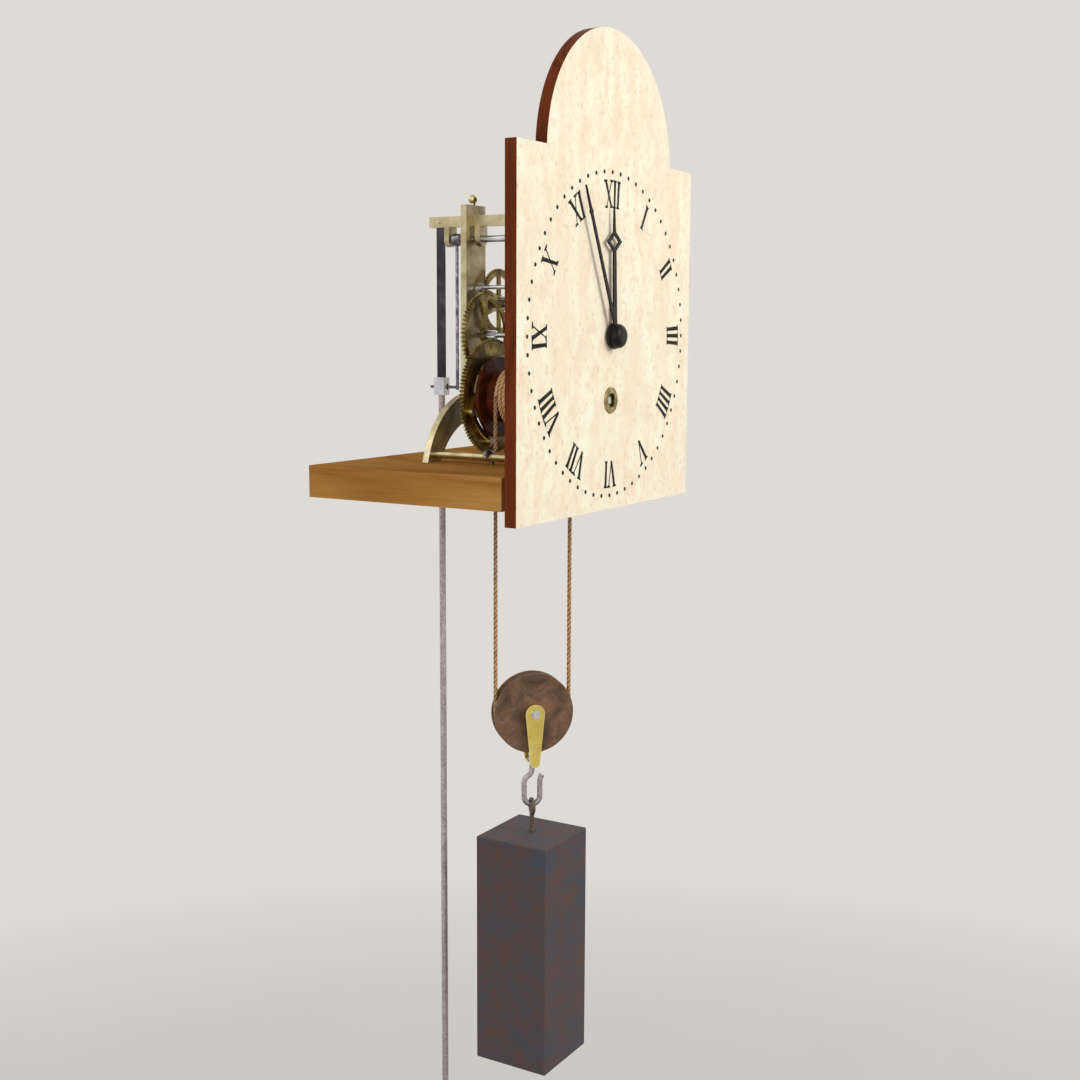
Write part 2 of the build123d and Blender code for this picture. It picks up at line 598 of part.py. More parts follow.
# Ratchet wheel: steel, screwed to the barrel's flange, with sloping teeth
RATCHET_TOOTH = 3.2
RATCHET_UNDERCUT = 0.03   # radians from a tooth's tip to its foot
with BuildPart() as ratchet_wheel:
    ratchet_points = []
    for tooth in range(RATCHET_TEETH):
        tip = 2 * math.pi * tooth / RATCHET_TEETH
        for radius, angle in ((RATCHET_R - RATCHET_TOOTH, tip - RATCHET_UNDERCUT), (RATCHET_R, tip)):
            ratchet_points.append((radius * math.sin(angle), radius * math.cos(angle)))
    with BuildSketch(upright(RATCHET_DEPTH + RATCHET_THICK, 0, BARREL_Z)):
        Polygon(*ratchet_points, align=None)
        Circle(GREAT_ARBOR_R + SEATED, mode=Mode.SUBTRACT)
    extrude(amount=RATCHET_THICK)
ratchet_wheel.part.label = "ratchet_wheel"
export_step(ratchet_wheel.part, "parts/ratchet_wheel.step")


def wheel(depth, thick, x, z, teeth, module, phase, rim, hub, spoke):
    """Adds a toothed wheel, crossed out to a rim, a hub and straight arms."""
    pitch_r = module * teeth / 2
    root = pitch_r - ROOT_CUT * module
    tip = pitch_r + WHEEL_ADDENDUM * module
    with BuildSketch(upright(depth + thick, x, z)) as blank:
        Polygon(*tooth_points(teeth, root, pitch_r, tip, WHEEL_SHARE, phase), align=None)
        Circle(root - rim, mode=Mode.SUBTRACT)
        Circle(hub)
        with PolarLocations(0, WHEEL_ARMS):
            Rectangle(root - rim / 2, spoke, align=(Align.MIN, Align.CENTER))
    extrude(blank.sketch, amount=thick)


def pinion(depth, long, x, z, leaves, module, phase):
    """Adds a leaf pinion of this length to an arbor."""
    pitch_r = module * leaves / 2
    root = pitch_r - PINION_CUT * module
    tip = pitch_r + PINION_ADDENDUM * module
    with BuildSketch(upright(depth + long, x, z)) as leaf:
        Polygon(*tooth_points(leaves, root, pitch_r, tip, PINION_SHARE, phase), align=None)
    extrude(leaf.sketch, amount=long)


# Where each pair of wheels meets, clockwise from straight up, so that a tooth faces a gap
TO_THIRD = math.atan2(THIRD_X, THIRD_UP)
TO_ESCAPE = math.atan2(-THIRD_X, ESCAPE_RISE - THIRD_UP)

# Great wheel: turns free on the winding arbor, with the click that locks it to the ratchet
GREAT_RIM = 16.0
GREAT_HUB = 15.0
GREAT_SPOKE = 9.0
CLICK_PIVOT_R = 41.0      # click screw from the winding arbor
CLICK_PIVOT_ANGLE = math.radians(-107)
CLICK_TIP_ANGLE = math.radians(-84)
CLICK_SCREW_R = 1.6
CLICK_FOOT_ANGLE = math.radians(-165)


def round_barrel(radius, angle):
    """Point at this radius from the winding arbor, at an angle clockwise from straight up."""
    return radius * math.sin(angle), BARREL_Z + radius * math.cos(angle)


CLICK_X, CLICK_Z = round_barrel(CLICK_PIVOT_R, CLICK_PIVOT_ANGLE)
SPRING_FOOT_X, SPRING_FOOT_Z = round_barrel(CLICK_PIVOT_R, CLICK_FOOT_ANGLE)
with BuildPart() as great_wheel:
    wheel(
        GREAT_DEPTH,
        GREAT_THICK,
        0,
        BARREL_Z,
        GREAT_TEETH,
        GREAT_MODULE,
        0,
        GREAT_RIM,
        GREAT_HUB,
        GREAT_SPOKE,
    )
    bored(0, BARREL_Z, GREAT_DEPTH, GREAT_DEPTH + GREAT_THICK, GREAT_ARBOR_R + RUN)
    for x, z in ((CLICK_X, CLICK_Z), (SPRING_FOOT_X, SPRING_FOOT_Z)):
        bored(x, z, GREAT_DEPTH, GREAT_DEPTH + GREAT_THICK, CLICK_SCREW_R + SEATED)
great_wheel.part.label = "great_wheel"
export_step(great_wheel.part, "parts/great_wheel.step")

# Great wheel key: brass washer fixed on the arbor behind the wheel, which keeps the wheel in place
KEY_R = 12.0
with BuildPart() as great_key:
    turned(0, BARREL_Z, (KEY_GROOVE_DEPTH, KEY_GROOVE_DEPTH + WASHER_THICK, KEY_R))
    bored(0, BARREL_Z, KEY_GROOVE_DEPTH, KEY_GROOVE_DEPTH + WASHER_THICK, GREAT_ARBOR_R + SEATED)
great_key.part.label = "great_key"
export_step(great_key.part, "parts/great_key.step")

# Click: brass pawl on the great wheel's face, its nose riding just over the ratchet's teeth
CLICK_SHAKE = 0.1         # click free between the wheel and its screw's head
CLICK_FLANGE_GAP = 0.4    # click to the barrel's flange
CLICK_FRONT = RATCHET_DEPTH + CLICK_FLANGE_GAP
CLICK_BACK = GREAT_DEPTH - CLICK_SHAKE
CLICK_ROUND_R = 4.5
CLICK_NOSE_R = 1.2
with BuildPart() as click:
    with BuildSketch(upright(CLICK_BACK)):
        with Locations((CLICK_X, CLICK_Z)):
            Circle(CLICK_ROUND_R)
        with Locations(round_barrel(RATCHET_R + AIR + CLICK_NOSE_R, CLICK_TIP_ANGLE)):
            Circle(CLICK_NOSE_R)
        make_hull()
    extrude(amount=CLICK_BACK - CLICK_FRONT)
    bored(CLICK_X, CLICK_Z, CLICK_FRONT, CLICK_BACK, CLICK_SCREW_R + RUN)
click.part.label = "click"
export_step(click.part, "parts/click.step")

# Click screws: steel shoulder screws for the click and for its spring's foot
CLICK_HEAD_R = 3.2
CLICK_HEAD = 1.4
CLICK_HEAD_BACK = CLICK_FRONT - CLICK_SHAKE
with BuildPart() as click_screws:
    for x, z in ((CLICK_X, CLICK_Z), (SPRING_FOOT_X, SPRING_FOOT_Z)):
        turned(
            x,
            z,
            (CLICK_HEAD_BACK - CLICK_HEAD, CLICK_HEAD_BACK, CLICK_HEAD_R),
            (CLICK_HEAD_BACK, GREAT_DEPTH + GREAT_THICK, CLICK_SCREW_R),
        )
click_screws.part.label = "click_screws"
export_step(click_screws.part, "parts/click_screws.step")

# Click spring: bent brass strip round the wheel's face, from its screwed foot to the click
SPRING_STRIP = 1.2
SPRING_REACH = CLICK_PIVOT_ANGLE - (CLICK_ROUND_R + AIR) / CLICK_PIVOT_R
with BuildPart() as click_spring:
    with BuildSketch(upright(CLICK_BACK)):
        with BuildLine():
            middle = (CLICK_FOOT_ANGLE + SPRING_REACH) / 2
            inner = CLICK_PIVOT_R - SPRING_STRIP / 2
            outer = CLICK_PIVOT_R + SPRING_STRIP / 2
            inner_arc = ThreePointArc(
                round_barrel(inner, CLICK_FOOT_ANGLE),
                round_barrel(inner, middle),
                round_barrel(inner, SPRING_REACH),
            )
            outer_arc = ThreePointArc(
                round_barrel(outer, CLICK_FOOT_ANGLE),
                round_barrel(outer, middle),
                round_barrel(outer, SPRING_REACH),
            )
            Line(inner_arc @ 0, outer_arc @ 0)
            Line(inner_arc @ 1, outer_arc @ 1)
        make_face()
        with Locations((SPRING_FOOT_X, SPRING_FOOT_Z)):
            Circle(CLICK_ROUND_R)
            Circle(CLICK_SCREW_R + SEATED, mode=Mode.SUBTRACT)
    extrude(amount=CLICK_BACK - CLICK_FRONT)
click_spring.part.label = "click_spring"
export_step(click_spring.part, "parts/click_spring.step")

# Centre arbor: steel, with its pinion, running out through the dial to carry the minute hand
PINION_ROOM = 3.0         # pinion longer than the wheel that drives it, before and behind
CENTRE_PINION_FRONT = GREAT_DEPTH - PINION_ROOM
BOSS_TALL = 5.6
BOSS_CAP = 1.5            # boss closed over the arbor's end
CANNON_FOOT = 1.0         # cannon pipe behind its wheel
BOSS_FRONT = -(MINUTE_HAND_OUT + BOSS_TALL)
CENTRE_FRONT = BOSS_FRONT + BOSS_CAP
CENTRE_SHOULDER = CANNON_DEPTH + MOTION_THICK + CANNON_FOOT
with BuildPart() as centre_arbor:
    turned(
        0,
        CENTRE_Z,
        (CENTRE_FRONT, CENTRE_SHOULDER, CANNON_BORE_R - RUN),
        (CENTRE_SHOULDER, SHOULDER_FRONT, CENTRE_ARBOR_R),
        (SHOULDER_FRONT, SHOULDER_BACK, ARBOR_R),
        (SHOULDER_BACK, PIVOT_BACK, PIVOT_R),
    )
    pinion(
        CENTRE_PINION_FRONT,
        CENTRE_DEPTH - AIR - CENTRE_PINION_FRONT,
        0,
        CENTRE_Z,
        CENTRE_LEAVES,
        GREAT_MODULE,
        math.pi / CENTRE_LEAVES,
    )
centre_arbor.part.label = "centre_arbor"
export_step(centre_arbor.part, "parts/centre_arbor.step")

# Centre wheel: crossed brass wheel on the centre arbor
WHEEL_RIM = 4.0
WHEEL_HUB = 7.0
WHEEL_SPOKE = 4.0
with BuildPart() as centre_wheel:
    wheel(
        CENTRE_DEPTH,
        WHEEL_THICK,
        0,
        CENTRE_Z,
        CENTRE_TEETH,
        CENTRE_MODULE,
        TO_THIRD,
        WHEEL_RIM,
        WHEEL_HUB,
        WHEEL_SPOKE,
    )
    bored(0, CENTRE_Z, CENTRE_DEPTH, CENTRE_DEPTH + WHEEL_THICK, ARBOR_R + SEATED)
centre_wheel.part.label = "centre_wheel"
export_step(centre_wheel.part, "parts/centre_wheel.step")

# Third arbor: steel, with its pinion under the centre wheel's teeth
THIRD_PINION_FRONT = CENTRE_DEPTH - PINION_ROOM
with BuildPart() as third_arbor:
    turned(
        THIRD_X,
        THIRD_Z,
        (PIVOT_FRONT, SHOULDER_FRONT, PIVOT_R),
        (SHOULDER_FRONT, SHOULDER_BACK, ARBOR_R),
        (SHOULDER_BACK, PIVOT_BACK, PIVOT_R),
    )
    pinion(
        THIRD_PINION_FRONT,
        THIRD_DEPTH - AIR - THIRD_PINION_FRONT,
        THIRD_X,
        THIRD_Z,
        THIRD_LEAVES,
        CENTRE_MODULE,
        TO_THIRD + math.pi + math.pi / THIRD_LEAVES,
    )
third_arbor.part.label = "third_arbor"
export_step(third_arbor.part, "parts/third_arbor.step")

# Third wheel: crossed brass wheel behind the centre wheel
with BuildPart() as third_wheel:
    wheel(
        THIRD_DEPTH,
        WHEEL_THICK,
        THIRD_X,
        THIRD_Z,
        THIRD_TEETH,
        THIRD_MODULE,
        TO_ESCAPE,
        WHEEL_RIM,
        WHEEL_HUB,
        WHEEL_SPOKE,
    )
    bored(THIRD_X, THIRD_Z, THIRD_DEPTH, THIRD_DEPTH + WHEEL_THICK, ARBOR_R + SEATED)
third_wheel.part.label = "third_wheel"
export_step(third_wheel.part, "parts/third_wheel.step")

# Escape arbor: steel, with the last pinion at its rear end
ESCAPE_ARBOR_R = 1.8
ESCAPE_PINION_FRONT = THIRD_DEPTH - PINION_ROOM / 2
with BuildPart() as escape_arbor:
    turned(
        0,
        ESCAPE_Z,
        (PIVOT_FRONT, SHOULDER_FRONT, PIVOT_R),
        (SHOULDER_FRONT, SHOULDER_BACK, ESCAPE_ARBOR_R),
        (SHOULDER_BACK, PIVOT_BACK, PIVOT_R),
    )
    pinion(
        ESCAPE_PINION_FRONT,
        SHOULDER_BACK - END_SHAKE - ESCAPE_PINION_FRONT,
        0,
        ESCAPE_Z,
        ESCAPE_LEAVES,
        THIRD_MODULE,
        TO_ESCAPE + math.pi + math.pi / ESCAPE_LEAVES,
    )
escape_arbor.part.label = "escape_arbor"
export_step(escape_arbor.part, "parts/escape_arbor.step")

# Escape wheel: thirty pointed teeth that lean the way they turn, clockwise from the front
ESCAPE_TOOTH = 6.0
ESCAPE_RIM = 3.0
ESCAPE_LEAN = 0.018       # radians that centre the gaps between the leaning teeth
ESCAPE_PHASE = math.pi / (2 * ESCAPE_TEETH) + ESCAPE_LEAN
ESCAPE_FORM = ((0, -0.13), (1, -0.015), (1, 0), (0, -0.045))
with BuildPart() as escape_wheel:
    escape_points = []
    for tooth in range(ESCAPE_TEETH):
        lead = math.pi / 4 + ESCAPE_PHASE + 2 * math.pi * tooth / ESCAPE_TEETH
        for height, lag in ESCAPE_FORM:
            radius = ESCAPE_R - ESCAPE_TOOTH * (1 - height)
            escape_points.append((radius * math.sin(lead + lag), radius * math.cos(lead + lag)))
    with BuildSketch(upright(ESCAPE_DEPTH + WHEEL_THICK, 0, ESCAPE_Z)):
        Polygon(*escape_points, align=None)
        Circle(ESCAPE_R - ESCAPE_TOOTH - ESCAPE_RIM, mode=Mode.SUBTRACT)
        Circle(WHEEL_HUB)
        with PolarLocations(0, WHEEL_ARMS):
            Rectangle(
                ESCAPE_R - ESCAPE_TOOTH - ESCAPE_RIM / 2, WHEEL_SPOKE, align=(Align.MIN, Align.CENTER)
            )
        Circle(ESCAPE_ARBOR_R + SEATED, mode=Mode.SUBTRACT)
    extrude(amount=WHEEL_THICK)
escape_wheel.part.label = "escape_wheel"
export_step(escape_wheel.part, "parts/escape_wheel.step")

# Wheel collets: brass bosses that seat the centre, third and escape wheels on their arbors
COLLET_PLACES = {
    "centre_collet": (0, CENTRE_Z, CENTRE_DEPTH + WHEEL_THICK, ARBOR_R),
    "third_collet": (THIRD_X, THIRD_Z, THIRD_DEPTH + WHEEL_THICK, ARBOR_R),
    "escape_collet": (0, ESCAPE_Z, ESCAPE_DEPTH + WHEEL_THICK, ESCAPE_ARBOR_R),
}
COLLET_LENGTH = min(COLLET_LONG, SHOULDER_BACK - END_SHAKE - THIRD_DEPTH - WHEEL_THICK)
for collet_name, (x, z, front, arbor_r) in COLLET_PLACES.items():
    with BuildPart() as collet:
        turned(x, z, (front, front + COLLET_LENGTH, COLLET_R))
        chamfer(collet.edges().group_by(Axis.Y)[-1], length=COLLET_EDGE)
        bored(x, z, front, front + COLLET_LENGTH, arbor_r + SEATED)
    collet.part.label = collet_name
    export_step(collet.part, f"parts/{collet_name}.step")

# Pallet arbor: steel, from the front plate through both cocks
CRUTCH_COLLET_FORE = 5.5
CRUTCH_COLLET_FRONT = CRUTCH_DEPTH - CRUTCH_COLLET_FORE
with BuildPart() as pallet_arbor:
    turned(
        0,
        PALLET_Z,
        (PIVOT_FRONT, SHOULDER_FRONT, PIVOT_R),
        (SHOULDER_FRONT, CRUTCH_COLLET_FRONT, PALLET_ARBOR_R),
        (CRUTCH_COLLET_FRONT, REAR_COCK_DEPTH + COCK_THICK + END_SHAKE, PALLET_REAR_R),
    )
pallet_arbor.part.label = "pallet_arbor"
export_step(pallet_arbor.part, "parts/pallet_arbor.step")

# Anchor: steel, its two nibs meeting the escape wheel's rim square to the wheel's radius
ANCHOR_THICK = 4.0
ANCHOR_HUB_R = 6.5
NIB_OUTER = 0.8           # the two edges of a nib, off the line from arbor to rim
NIB_INNER = 0.8
NIB_RELIEF = 3.2
NIB_LIFT = 0.35           # nibs stand off the teeth's tips in mid-swing
ARM_TOP = (11.7, -2.8)    # corners of an arm: out from the rim, and along it from the nib
ARM_SHOULDER = (9.7, 1.3)
ARM_UNDER = (6.7, -4.9)
ARM_EASE = 1.0            # arms start inside the hub's edge
ARM_ROOT = ANCHOR_HUB_R - ARM_EASE


def nib_point(side, out, along):
    """Point this far outside the escape wheel's rim, beside one of the two pallets."""
    radius = ESCAPE_R + out
    x = (radius + along) * math.sqrt(0.5)
    z = ESCAPE_Z + (radius - along) * math.sqrt(0.5)
    return side * x, z


with BuildPart() as anchor:
    with BuildSketch(upright(ESCAPE_DEPTH + WHEEL_THICK / 2 + ANCHOR_THICK / 2)):
        for side in (-1, 1):
            Polygon(
                (0, PALLET_Z + ARM_ROOT),
                nib_point(side, *ARM_TOP),
                nib_point(side, *ARM_SHOULDER),
                nib_point(side, NIB_LIFT, NIB_OUTER),
                nib_point(side, NIB_LIFT, -NIB_INNER),
                nib_point(side, NIB_RELIEF, -NIB_INNER),
                nib_point(side, *ARM_UNDER),
                (0, PALLET_Z - ARM_ROOT),
                align=None,
            )
        with Locations((0, PALLET_Z)):
            Circle(ANCHOR_HUB_R)
            Circle(PALLET_ARBOR_R + SEATED, mode=Mode.SUBTRACT)
    extrude(amount=ANCHOR_THICK)
anchor.part.label = "anchor"
export_step(anchor.part, "parts/anchor.step")

# Crutch: steel wire from a brass collet down to a pin that pushes the pendulum's block
CRUTCH_COLLET_R = 5.5
CRUTCH_COLLET_AFT = 2.3
CRUTCH_COLLET_BACK = CRUTCH_DEPTH + CRUTCH_COLLET_AFT
CRUTCH_PIN_R = 1.35
CRUTCH_TOE = 2.5
CRUTCH_PIN_Z = PALLET_Z - CRUTCH_PIN_DROP
CRUTCH_PIN_PROUD = 5.5
CRUTCH_PIN_BACK = PENDULUM_DEPTH + BLOCK_DEEP / 2 + CRUTCH_PIN_PROUD
with BuildPart() as crutch:
    turned(0, PALLET_Z, (CRUTCH_COLLET_FRONT, CRUTCH_COLLET_BACK, CRUTCH_COLLET_R))
    with BuildSketch(level(CRUTCH_PIN_Z - CRUTCH_TOE, 0, CRUTCH_DEPTH)):
        Circle(CRUTCH_R)
    extrude(amount=CRUTCH_TOE + CRUTCH_PIN_DROP - PALLET_REAR_R)
    turned(0, CRUTCH_PIN_Z, (CRUTCH_DEPTH, CRUTCH_PIN_BACK, CRUTCH_PIN_R))
    bored(0, PALLET_Z, CRUTCH_COLLET_FRONT, CRUTCH_COLLET_BACK, PALLET_REAR_R + SEATED)
crutch.part.label = "crutch"
export_step(crutch.part, "parts/crutch.step")

# Suspension spring: thin steel strip from the cross pin down into the pendulum's block
BLOCK_ABOVE_PIN = 8.5
BLOCK_TOP = CRUTCH_PIN_Z + BLOCK_ABOVE_PIN
BLOCK_BOTTOM = BLOCK_TOP - BLOCK_TALL
SPRING_HEAD = 1.5
SPRING_TOP = PIVOT_Z + SUSPENSION_PIN_R + SPRING_HEAD
SPRING_FACE = Plane(
    origin=(-SPRING_THICK / 2, DIAL_FRONT_Y + PENDULUM_DEPTH, 0),
    x_dir=(0, 1, 0),
    z_dir=(1, 0, 0),
)
with BuildPart() as suspension_spring:
    with BuildSketch(SPRING_FACE):
        with Locations((0, (SPRING_TOP + BLOCK_TOP - SPRING_SEAT) / 2)):
            Rectangle(SPRING_WIDE, SPRING_TOP - BLOCK_TOP + SPRING_SEAT)
        with Locations((0, PIVOT_Z)):
            Circle(SUSPENSION_PIN_R + RUN, mode=Mode.SUBTRACT)
    extrude(amount=SPRING_THICK)
suspension_spring.part.label = "suspension_spring"
export_step(suspension_spring.part, "parts/suspension_spring.step")

# Pendulum block: bright steel, slit for the spring, slotted for the crutch pin, bored for the rod
BLOCK_SLOT_TALL = 6.0
ROD_SEAT = 3.0
BLOCK_EDGE = 1.0
with BuildPart() as pendulum_block:
    with BuildSketch(level(BLOCK_BOTTOM, 0, PENDULUM_DEPTH)):
        Rectangle(BLOCK_WIDE, BLOCK_DEEP)
    extrude(amount=BLOCK_TALL)
    chamfer(pendulum_block.edges().filter_by(Axis.Z), length=BLOCK_EDGE)
    with BuildSketch(level(BLOCK_TOP - SPRING_SEAT, 0, PENDULUM_DEPTH)):
        Rectangle(SPRING_THICK + 2 * SEATED, SPRING_WIDE + 2 * SEATED)
    extrude(amount=SPRING_SEAT, mode=Mode.SUBTRACT)
    with BuildSketch(upright(PENDULUM_DEPTH + BLOCK_DEEP / 2, 0, CRUTCH_PIN_Z)):
        SlotOverall(BLOCK_SLOT_TALL, 2 * (CRUTCH_PIN_R + CRUTCH_PLAY), rotation=90)
    extrude(amount=BLOCK_DEEP, mode=Mode.SUBTRACT)
    with BuildSketch(level(BLOCK_BOTTOM, 0, PENDULUM_DEPTH)):
        Circle(ROD_R + SEATED)
    extrude(amount=ROD_SEAT, mode=Mode.SUBTRACT)
pendulum_block.part.label = "pendulum_block"
export_step(pendulum_block.part, "parts/pendulum_block.step")

# Pendulum rod: steel, a second's length to the bob, with a tail for the rating nut
BOB_Z = PIVOT_Z - PENDULUM_LONG
NUT_TOP = BOB_Z - BOB_R - AIR
ROD_BOTTOM = NUT_TOP - NUT_TALL - ROD_TAIL
with BuildPart() as pendulum_rod:
    with BuildSketch(level(ROD_BOTTOM, 0, PENDULUM_DEPTH)):
        Circle(ROD_R)
    extrude(amount=BLOCK_BOTTOM + ROD_SEAT - ROD_BOTTOM)
pendulum_rod.part.label = "pendulum_rod"
export_step(pendulum_rod.part, "parts/pendulum_rod.step")

# Pendulum bob: lens-shaped brass disc that slides on the rod
BOB_BULGE = (BOB_THICK - BOB_RIM) / 2
with BuildPart() as pendulum_bob:
    with BuildSketch(level(BOB_Z, 0, PENDULUM_DEPTH)):
        with BuildLine():
            front_edge = (BOB_R, -BOB_RIM / 2)
            back_edge = (BOB_R, BOB_RIM / 2)
            Line((0, -BOB_THICK / 2), (0, BOB_THICK / 2))
            Line(front_edge, back_edge)
            bulge_r = (BOB_R**2 + BOB_BULGE**2) / (2 * BOB_BULGE)
            half_way = BOB_BULGE - bulge_r + math.sqrt(bulge_r**2 - (BOB_R / 2) ** 2)
            ThreePointArc((0, BOB_THICK / 2), (BOB_R / 2, BOB_RIM / 2 + half_way), back_edge)
            ThreePointArc((0, -BOB_THICK / 2), (BOB_R / 2, -BOB_RIM / 2 - half_way), front_edge)
        make_face()
    revolve(axis=Axis((0, DIAL_FRONT_Y + PENDULUM_DEPTH, BOB_Z), (0, 1, 0)))
    with BuildSketch(level(BOB_Z - BOB_R, 0, PENDULUM_DEPTH)):
        Circle(ROD_R + RUN)
    extrude(amount=2 * BOB_R, mode=Mode.SUBTRACT)
pendulum_bob.part.label = "pendulum_bob"
export_step(pendulum_bob.part, "parts/pendulum_bob.step")

# Rating nut: twelve-sided brass nut under the bob
NUT_SIDES = 12
with BuildPart() as rating_nut:
    with BuildSketch(level(NUT_TOP - NUT_TALL, 0, PENDULUM_DEPTH)):
        RegularPolygon(NUT_R, NUT_SIDES)
        Circle(ROD_R + RUN, mode=Mode.SUBTRACT)
    extrude(amount=NUT_TALL)
rating_nut.part.label = "rating_nut"
export_step(rating_nut.part, "parts/rating_nut.step")

# Cannon wheel: brass wheel and pipe, held to the centre arbor by friction so the hands can be set
CANNON_MODULE = STUD_DISTANCE / CANNON_TEETH
HOUR_MODULE = 2 * STUD_DISTANCE / (HOUR_TEETH + MINUTE_LEAVES)
MOTION_RIM = 3.0
MOTION_SPOKE = 3.0
CANNON_SHAKE = 0.1
CANNON_BACK = CENTRE_SHOULDER - CANNON_SHAKE
with BuildPart() as cannon_wheel:
    wheel(
        CANNON_DEPTH,
        MOTION_THICK,
        0,
        CENTRE_Z,
        CANNON_TEETH,
        CANNON_MODULE,
        0,
        MOTION_RIM,
        WHEEL_HUB,
        MOTION_SPOKE,
    )
    turned(0, CENTRE_Z, (-MINUTE_HAND_OUT, CANNON_BACK, CANNON_PIPE_R))
    bored(0, CENTRE_Z, -MINUTE_HAND_OUT, CANNON_BACK, CANNON_BORE_R)
cannon_wheel.part.label = "cannon_wheel"
export_step(cannon_wheel.part, "parts/cannon_wheel.step")

# Friction spring: flat brass washer between the front plate and the cannon wheel
FRICTION_R = 8.0
FRICTION_GAP = 0.2
FRICTION_FRONT = CENTRE_SHOULDER + FRICTION_GAP
FRICTION_BACK = FRONT_PLATE_DEPTH - FRICTION_GAP
with BuildPart() as friction_spring:
    turned(0, CENTRE_Z, (FRICTION_FRONT, FRICTION_BACK, FRICTION_R))
    bored(0, CENTRE_Z, FRICTION_FRONT, FRICTION_BACK, CENTRE_ARBOR_R + SEATED)
friction_spring.part.label = "friction_spring"
export_step(friction_spring.part, "parts/friction_spring.step")

# Minute wheel: brass wheel with its small pinion, turning on the stud above the centre
MINUTE_PINION_FORE = 1.5  # pinion before the hour wheel
MINUTE_PINION_FRONT = HOUR_DEPTH - MINUTE_PINION_FORE
with BuildPart() as minute_wheel:
    wheel(
        CANNON_DEPTH,
        MOTION_THICK,
        0,
        STUD_Z,
        CANNON_TEETH,
        CANNON_MODULE,
        math.pi / CANNON_TEETH,
        MOTION_RIM,
        WHEEL_HUB,
        MOTION_SPOKE,
    )
    pinion(
        MINUTE_PINION_FRONT, CANNON_DEPTH - MINUTE_PINION_FRONT, 0, STUD_Z, MINUTE_LEAVES, HOUR_MODULE, 0
    )
    bored(0, STUD_Z, MINUTE_PINION_FRONT, CANNON_DEPTH + MOTION_THICK, STUD_R + RUN)
minute_wheel.part.label = "minute_wheel"
export_step(minute_wheel.part, "parts/minute_wheel.step")

# Hour wheel: large thin brass wheel whose pipe carries the hour hand
HOUR_FOOT = 1.0           # hour pipe behind its wheel
HOUR_BACK = HOUR_DEPTH + MOTION_THICK + HOUR_FOOT
with BuildPart() as hour_wheel:
    wheel(
        HOUR_DEPTH,
        MOTION_THICK,
        0,
        CENTRE_Z,
        HOUR_TEETH,
        HOUR_MODULE,
        math.pi / HOUR_TEETH,
        MOTION_RIM,
        WHEEL_HUB,
        MOTION_SPOKE,
    )
    turned(0, CENTRE_Z, (-HOUR_HAND_OUT, HOUR_BACK, HOUR_PIPE_R))
    bored(0, CENTRE_Z, -HOUR_HAND_OUT, HOUR_BACK, CANNON_PIPE_R + RUN)
hour_wheel.part.label = "hour_wheel"
export_step(hour_wheel.part, "parts/hour_wheel.step")


def hand_plane(depth, short):
    """Plane at this depth through the centre arbor, turned by so many degrees short of twelve."""
    turn = math.radians(short)
    return Plane(
        origin=(0, DIAL_FRONT_Y + depth, CENTRE_Z),
        x_dir=(math.cos(turn), 0, math.sin(turn)),
        z_dir=(0, -1, 0),
    )


# Hour hand: blued steel, a stout bar with an open lozenge and a fine point
LOZENGE_AT = 79.0
LOZENGE_HALF = 12.6
LOZENGE_TALL = 9.3
LOZENGE_OPEN = 0.6        # share of the lozenge that is open
HOUR_BAR = 3.0
HAND_TAPER = 0.75         # width of a hand's bar at its far end
HAND_POINT = 0.5          # half the width of a hand's point
HOUR_HUB_LONG = 3.0
HOUR_HUB_BACK = HOUR_HUB_LONG - HOUR_HAND_OUT
with BuildPart() as hour_hand:
    with BuildSketch(hand_plane(HAND_THICK - HOUR_HAND_OUT, HOUR_HAND_ANGLE)):
        Polygon(
            (-HOUR_BAR, 0),
            (-HOUR_BAR * HAND_TAPER, LOZENGE_AT),
            (HOUR_BAR * HAND_TAPER, LOZENGE_AT),
            (HOUR_BAR, 0),
            align=None,
        )
        Polygon(
            (-HOUR_BAR * HAND_TAPER, LOZENGE_AT),
            (-HAND_POINT, HOUR_HAND_LONG),
            (HAND_POINT, HOUR_HAND_LONG),
            (HOUR_BAR * HAND_TAPER, LOZENGE_AT),
            align=None,
        )
        for share, mode in ((1, Mode.ADD), (LOZENGE_OPEN, Mode.SUBTRACT)):
            Polygon(
                (0, LOZENGE_AT - LOZENGE_TALL * share),
                (LOZENGE_HALF * share, LOZENGE_AT),
                (0, LOZENGE_AT + LOZENGE_TALL * share),
                (-LOZENGE_HALF * share, LOZENGE_AT),
                align=None,
                mode=mode,
            )
    extrude(amount=HAND_THICK)
    turned(0, CENTRE_Z, (-HOUR_HAND_OUT, HOUR_HUB_BACK, HAND_HUB_R))
    bored(0, CENTRE_Z, -HOUR_HAND_OUT, HOUR_HUB_BACK, HOUR_PIPE_R + SEATED)
hour_hand.part.label = "hour_hand"
export_step(hour_hand.part, "parts/hour_hand.step")

